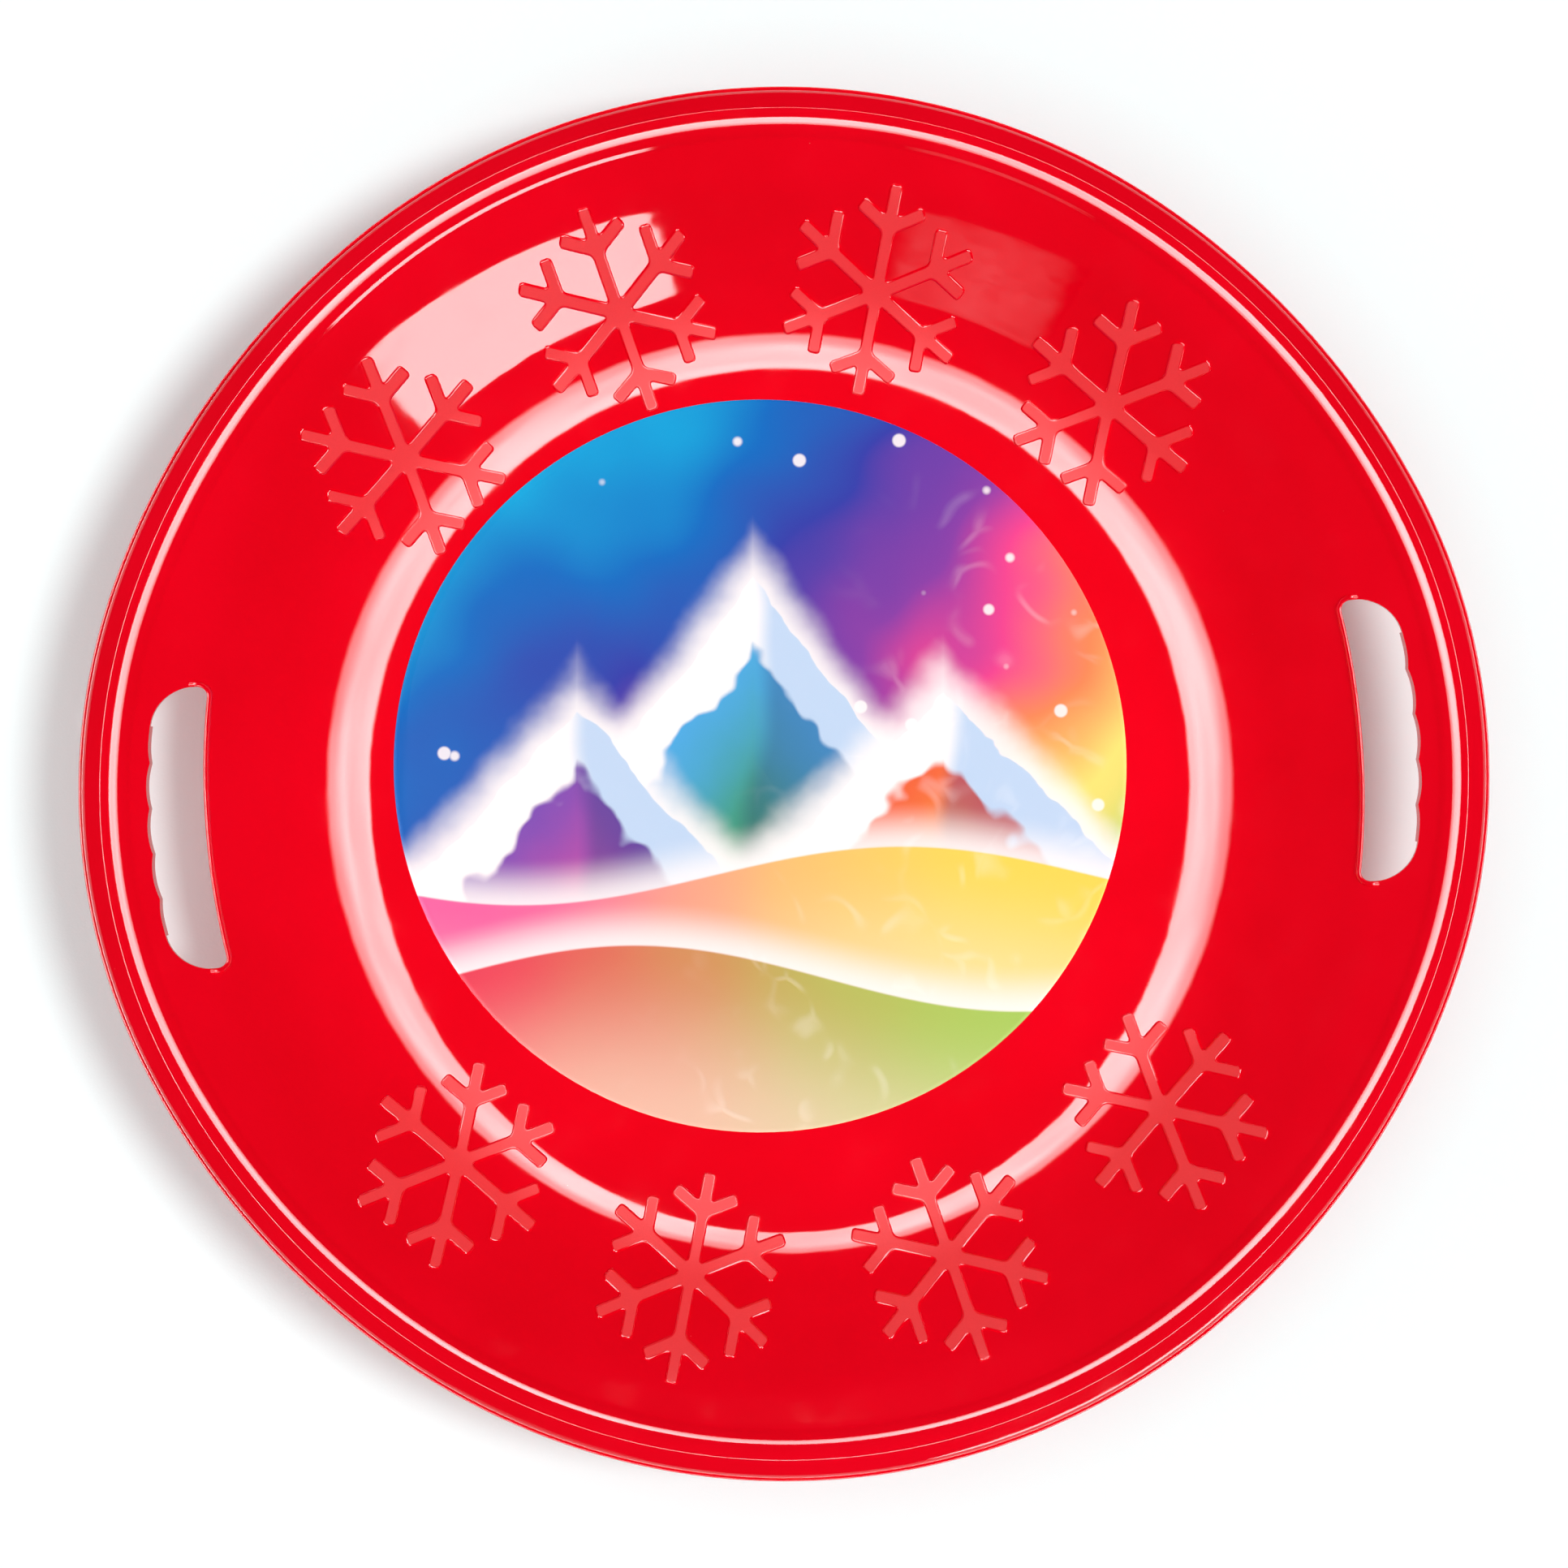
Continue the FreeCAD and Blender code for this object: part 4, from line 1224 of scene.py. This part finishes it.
@dataclass
class Snowflake:
    """One raised snowflake, which follows the curve of the wall that it is on."""

    form: DishForm
    finishes: list[bpy.types.Material]
    row: Row
    place: int
    row_length: int = 4
    spacing: float = math.radians(30.0)
    circle: float = 217.0 * MM
    reach: float = 43.0 * MM
    arm_width: float = 5.6 * MM
    branch_start: float = 26.0 * MM
    branch_length: float = 16.0 * MM
    branch_angle: float = math.radians(60.0)
    arms: int = 6
    height: float = 1.1 * MM
    sink: float = 0.8 * MM
    corner_round: float = 1.7 * MM
    edge_round: float = 0.75 * MM
    edge_support: float = 0.18 * MM
    cell: float = 4.0 * MM
    round_steps: int = 3
    same_plane: float = math.radians(1.0)
    # A face belongs to the flat top where its normal points up at least this much
    level: float = 0.99

    def outline(self) -> bmesh.types.BMesh:
        """Draw half an arm, mirror it and copy it round the hub, as one flat face with rounded corners."""
        half = self.arm_width / 2
        lean = self.branch_angle
        wide = half / math.sin(lean)
        foot = self.branch_start + half / math.tan(lean)
        tip = on_circle(Vector((self.branch_start, 0, 0)), self.branch_length, lean)
        valley = half / math.tan(math.pi / self.arms)
        mesh = bmesh.new()
        pen = Pen(mesh, Vector(), UP)
        for corner in (
            Vector((self.reach, 0, 0)),
            Vector((self.reach, half, 0)),
            Vector((foot + wide, half, 0)),
            on_circle(tip, half, lean - RIGHT_ANGLE),
            on_circle(tip, half, lean + RIGHT_ANGLE),
            Vector((foot - wide, half, 0)),
            Vector((valley, half, 0)),
            Vector(),
        ):
            pen.line(corner)
        pen.close()
        whole = [*mesh.faces, *mesh.edges, *mesh.verts]
        bmesh.ops.mirror(mesh, geom=whole, matrix=Matrix(), merge_dist=MERGE, axis="Y")
        whole = [*mesh.faces, *mesh.edges, *mesh.verts]
        bmesh.ops.spin(mesh, geom=whole, cent=Vector(), axis=UP, angle=math.tau, steps=self.arms,
                       use_duplicate=True)
        face_outwards(mesh)
        bmesh.ops.dissolve_limit(mesh, angle_limit=self.same_plane, verts=mesh.verts, edges=mesh.edges)
        bmesh.ops.bevel(mesh, geom=list(mesh.verts), offset=self.corner_round, affect="VERTICES",
                        segments=self.round_steps, profile=0.5, material=-1)
        return mesh

    def raise_edge(self, mesh: bmesh.types.BMesh) -> None:
        """Give the flat outline its height, a rounded edge and a close support inside the edge."""
        made = bmesh.ops.extrude_face_region(mesh, geom=list(mesh.faces))["geom"]
        top = [item for item in made if isinstance(item, bmesh.types.BMFace)]
        lifted = [item for item in made if isinstance(item, bmesh.types.BMVert)]
        bmesh.ops.translate(mesh, verts=lifted, vec=UP * (self.height + self.sink))
        rim = [edge for face in top for edge in face.edges]
        bmesh.ops.bevel(mesh, geom=rim, offset=self.edge_round, affect="EDGES", segments=self.round_steps,
                        profile=0.5, material=-1)
        face_outwards(mesh)
        crown = [face for face in mesh.faces if face.normal.z > self.level]
        bmesh.ops.inset_region(mesh, faces=crown, thickness=self.edge_support)
        for face in mesh.faces:
            face.material_index = int(face.normal.z > self.level)

    def divide(self, mesh: bmesh.types.BMesh) -> None:
        """Cut the flake into small cells, so that it can follow a curve."""
        cuts = math.floor(self.reach / self.cell)
        for step in range(-cuts, cuts + 1):
            for direction in (Vector((1, 0, 0)), Vector((0, 1, 0))):
                everything = [*mesh.verts, *mesh.edges, *mesh.faces]
                bmesh.ops.bisect_plane(mesh, geom=everything, dist=MERGE, plane_no=direction,
                                       plane_co=direction * step * self.cell)
        bmesh.ops.triangulate(mesh, faces=[face for face in mesh.faces if len(face.verts) > 4])

    def build(self) -> bpy.types.Object:
        """Build the snowflake where it belongs and return it."""
        mesh = self.outline()
        self.raise_edge(mesh)
        self.divide(mesh)
        direction = self.row.value + (self.place - (self.row_length - 1) / 2) * self.spacing
        outer = self.place in (0, self.row_length - 1)
        turn_about_axis(mesh, direction + (math.pi / self.arms if outer else 0))
        bmesh.ops.translate(mesh, verts=mesh.verts, vec=on_circle(Vector(), self.circle, direction))
        for vertex in mesh.verts:
            vertex.co.z += self.form.height(vertex.co.x, vertex.co.y) - self.sink
        name = f"snowflake_{self.row.name.lower()}_{self.place + 1}"
        return Piece(name, "dish_plastic").add(mesh, self.finishes, SHARP)


@dataclass
class Label:
    """The round printed film on the floor, with faint creases where it was smoothed down."""

    form: DishForm
    finish: bpy.types.Material
    low: Vector
    high: Vector
    rings: int = 90
    under_rings: int = 2
    turns: int = 180
    edge_round: float = 0.1 * MM
    round_steps: int = 3
    crease_height: float = 0.1 * MM
    crease_size: float = 34 * MM
    crease_sharpness: float = 4.0
    fade_start: float = 0.375

    @property
    def centre(self) -> Vector:
        """Return the middle of the film's underside."""
        return Vector(((self.low.x + self.high.x) / 2, (self.low.y + self.high.y) / 2, self.low.z))

    @property
    def radius(self) -> float:
        """Return the film's radius."""
        return (self.high.x - self.low.x) / 2

    def build(self) -> bpy.types.Object:
        """Build the film and return it."""
        thickness = self.high.z - self.low.z
        edge = in_section(self.radius - self.edge_round, thickness)
        mesh = bmesh.new()
        pen = Pen(mesh, in_section(0, thickness), SECTION_AXIS)
        pen.line(edge, self.rings)
        pen.arc(edge - UP * self.edge_round, -RIGHT_ANGLE, self.round_steps)
        pen.line(in_section(self.radius, 0))
        pen.line(in_section(0, 0), self.under_rings)
        spin_section(mesh, self.turns)
        face_outwards(mesh)
        for vertex in mesh.verts:
            if vertex.co.z > thickness / 2:
                vertex.co.z += self.crease(vertex.co)
        bmesh.ops.translate(mesh, verts=mesh.verts, vec=self.centre)
        for vertex in mesh.verts:
            vertex.co.z += self.form.height(vertex.co.x, vertex.co.y) - self.form.wall
        return Piece("label_print", "label_film", "label_film").add(mesh, [self.finish], SHARP)

    def crease(self, point: Vector) -> float:
        """Return how far the film stands up at a point."""
        ridge = 1 - abs(noise.noise(point / self.crease_size)) * self.crease_sharpness
        share = math.hypot(point.x, point.y) / self.radius
        fade = 1 - smooth_step((share - self.fade_start) / (1 - self.fade_start))
        return max(ridge, 0.0) ** 2 * self.crease_height * fade


def from_zenith(tilt: float, direction: float) -> Vector:
    """Return the direction of a light, from how far it is off the zenith and the way it lies."""
    return on_circle(UP * math.cos(tilt), math.sin(tilt), direction)


def new_cloth(across: int, along: int) -> bmesh.types.BMesh:
    """Make a flat cloth, 1 m wide and long, with a UV map.

    Args:
        across: how many cells it has across.
        along: how many cells it has along.

    Returns:
        The cloth's mesh.
    """
    mesh = bmesh.new()
    mesh.loops.layers.uv.new()
    bmesh.ops.create_grid(mesh, x_segments=across, y_segments=along, size=0.5, calc_uvs=True)
    return mesh


def hang_cloth(name: str, mesh: bmesh.types.BMesh, cloth: bpy.types.Material) -> None:
    """Hang a bright cloth on the stage so that it is only seen as a reflection.

    Args:
        name: its name.
        mesh: its mesh, which is used up.
        cloth: its material.
    """
    made = new_object(name, mesh, cloth)
    made.visible_camera = False
    made.visible_diffuse = False
    made.visible_transmission = False
    made.visible_shadow = False


@dataclass
class Sun:
    """An even light from far away, which doesn't show in the gloss."""

    name: str
    tilt: float
    direction: float
    strength: float
    softness: float

    def build(self) -> None:
        """Add the light."""
        light = bpy.data.lights.new(self.name, "SUN")
        light.energy = self.strength
        light.angle = self.softness
        made = bpy.data.objects.new(self.name, light)
        made.rotation_euler = (-from_zenith(self.tilt, self.direction)).to_track_quat("-Z", "Y").to_euler()
        made.visible_glossy = False
        bpy.context.scene.collection.objects.link(made)


@dataclass
class Panel:
    """A bright cloth with round ends, turned towards the dish, which only shows in the gloss."""

    name: str
    tilt: float
    direction: float
    width: float
    length: float
    glow: float
    streak_share: float
    fade: float
    distance: float = 1.6
    streak_scale: tuple[float, float, float] = (3.0, 30.0, 1.0)

    def material(self) -> bpy.types.Material:
        """Build the cloth's material and return it."""
        material, graph = new_graph(self.name)
        place = graph.place("UV")
        across = abs(graph.part(place, "X") - 0.5) * self.width
        along = abs(graph.part(place, "Y") - 0.5) * self.length
        corner = self.length / 2
        beside = graph.math("MAXIMUM", across - (self.width / 2 - corner), 0.0)
        away = graph.math("SQRT", beside * beside + along * along)
        grain = graph.node("ShaderNodeMapping", None, {"Vector": place, "Scale": self.streak_scale})
        streaks = graph.cloud(grain, 1.0, detail=3.0).step(*CLOUD_RANGE) * self.streak_share
        graph.show_glow(away.step(corner, corner * (1 - self.fade)) * (1.0 - streaks), self.glow)
        return material

    def build(self) -> None:
        """Add the panel."""
        towards = from_zenith(self.tilt, self.direction)
        turn = (-towards).to_track_quat("-Z", "Y").to_matrix()
        mesh = new_cloth(1, 1)
        bmesh.ops.scale(mesh, verts=mesh.verts, vec=Vector((self.width, self.length, 1)))
        bmesh.ops.rotate(mesh, verts=mesh.verts, cent=Vector(), matrix=turn)
        bmesh.ops.translate(mesh, verts=mesh.verts, vec=towards * self.distance)
        hang_cloth(self.name, mesh, self.material())


@dataclass
class Canopy:
    """A ring of bright cloth high round the camera, which only shows in the gloss.

    Its edges are given in degrees off the zenith, towards the right, top, left and bottom of the picture.
    """

    turn: float
    inner: tuple[float, float, float, float] = (17.0, 41.0, 11.0, 18.0)
    outer: tuple[float, float, float, float] = (49.0, 57.0, 43.0, 44.0)
    distance: float = 6.0
    glow: float = 20.0
    fold_size: float = 1.6
    fold_shade: float = 0.3
    # Pairs are where a soft ramp starts and ends, from the inner edge at 0 to the outer at 1
    inner_fade: tuple[float, float] = (0.0, 0.08)
    outer_fade: tuple[float, float] = (1.0, 0.86)
    dim_range: tuple[float, float] = (0.55, 0.85)
    dim_share: float = 0.5
    around: int = 96
    cells_across: int = 4

    def edge(self, edges: tuple[float, float, float, float], direction: float) -> float:
        """Return an edge's angle off the zenith in a direction, blended from its four sides."""
        across, along = math.cos(direction), math.sin(direction)
        shares = [max(side, 0.0) ** 2 for side in (across, along, -across, -along)]
        return math.radians(sum(share * side for share, side in zip(shares, edges)))

    def material(self) -> bpy.types.Material:
        """Build the cloth's material and return it."""
        material, graph = new_graph("bright_cloth")
        across = graph.part(graph.place("UV"), "Y")
        folds = graph.cloud(graph.place(), self.fold_size).step(*CLOUD_RANGE)
        folds = folds * self.fold_shade + (1 - self.fold_shade)
        core = 1.0 - across.step(*self.dim_range) * self.dim_share
        edges = across.step(*self.inner_fade) * across.step(*self.outer_fade)
        graph.show_glow(edges * core * folds, self.glow)
        return material

    def build(self) -> None:
        """Add the ring."""
        mesh = new_cloth(self.around, self.cells_across)
        for vertex in mesh.verts:
            direction = vertex.co.x * math.tau
            share = vertex.co.y + 0.5
            tilt = self.edge(self.inner, direction) * (1 - share) + self.edge(self.outer, direction) * share
            vertex.co = from_zenith(tilt, direction + self.turn) * self.distance
        face_outwards(mesh)
        hang_cloth("canopy", mesh, self.material())


@dataclass
class Studio:
    """The pale floor, the soft lights and the camera straight above the dish."""

    roll: float = math.radians(-4.3)
    camera_height: float = 2.083
    lens: float = 108.7
    sensor: float = 36.0
    floor_size: float = 12.0
    floor_gap: float = 0.3 * MM
    floor_cells: int = 8
    gloom: float = 0.03
    # Directions of lights are turned from the right of the picture
    key_tilt: float = math.radians(26.0)
    key_strength: float = 1.55
    key_softness: float = math.radians(17.0)
    fill_tilt: float = math.radians(38.0)
    fill_direction: float = math.radians(-150.0)
    fill_strength: float = 2.25
    fill_softness: float = math.radians(170.0)
    panel_tilt: float = math.radians(80.0)
    right_panel: float = math.radians(-61.0)
    left_panel: float = math.radians(-111.0)

    def camera(self) -> None:
        """Add the camera."""
        data = bpy.data.cameras.new("camera")
        data.lens = self.lens
        data.sensor_width = self.sensor
        made = bpy.data.objects.new("camera", data)
        made.location = (0, 0, self.camera_height)
        made.rotation_euler = (0, 0, self.roll)
        bpy.context.scene.collection.objects.link(made)
        bpy.context.scene.camera = made

    def floor(self) -> None:
        """Add the floor."""
        mesh = bmesh.new()
        bmesh.ops.create_grid(mesh, x_segments=self.floor_cells, y_segments=self.floor_cells,
                              size=self.floor_size / 2)
        bmesh.ops.translate(mesh, verts=mesh.verts, vec=-UP * self.floor_gap)
        made = new_object("floor", mesh, PaleFloor().material())

    def world(self) -> None:
        """Leave the room round the stage dim."""
        world = bpy.data.worlds.new("world")
        world.use_nodes = True
        bpy.context.scene.world = world
        graph = Graph(world.node_tree)
        inputs = {"Color": (1, 1, 1, 1), "Strength": self.gloom}
        graph.show(graph.node("ShaderNodeBackground", None, inputs), "ShaderNodeOutputWorld")

    def lights(self) -> None:
        """Add the lights: a key from the right, a wide fill, and what shows in the gloss."""
        fill_from = self.fill_direction + self.roll
        for light in (
            Sun("key", self.key_tilt, self.roll, self.key_strength, self.key_softness),
            Sun("fill", self.fill_tilt, fill_from, self.fill_strength, self.fill_softness),
            Canopy(self.roll),
            Panel("low_right", self.panel_tilt, self.right_panel + self.roll, width=0.96, length=0.25,
                  glow=14.5, streak_share=0.0, fade=0.15),
            Panel("low_left", self.panel_tilt, self.left_panel + self.roll, width=0.55, length=0.22,
                  glow=1.7, streak_share=0.85, fade=0.6),
        ):
            light.build()

    def build(self) -> None:
        """Set the stage."""
        bpy.context.scene.view_settings.view_transform = "Standard"
        self.camera()
        self.floor()
        self.world()
        self.lights()


def main() -> None:
    """Build the sled and its stage."""
    logging.basicConfig(level=logging.INFO)
    studio = Studio()
    studio.build()
    form = DishForm()
    slot = SlotForm(form)
    gloss = GlossPlastic().material()
    # The snowflakes' matt tops carry painted sheen in their colour
    grain = MattGrainPaintedSheen().material()
    Dish(form, slot, gloss).build()
    for side in Side:
        SlotLip(form, slot, gloss, side).build()
    for row in Row:
        for place in range(Snowflake.row_length):
            Snowflake(form, [gloss, grain], row, place).build()
    low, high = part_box("label_film")
    printed = PrintedFilm((low + high) / 2, (high.x - low.x) / 2, studio.roll)
    Label(form, printed.material(), low, high).build()
    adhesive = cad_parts["label_adhesive"]
    adhesive.data.materials.clear()
    adhesive.data.materials.append(Adhesive().material())


if __name__ == "__main__":
    main()
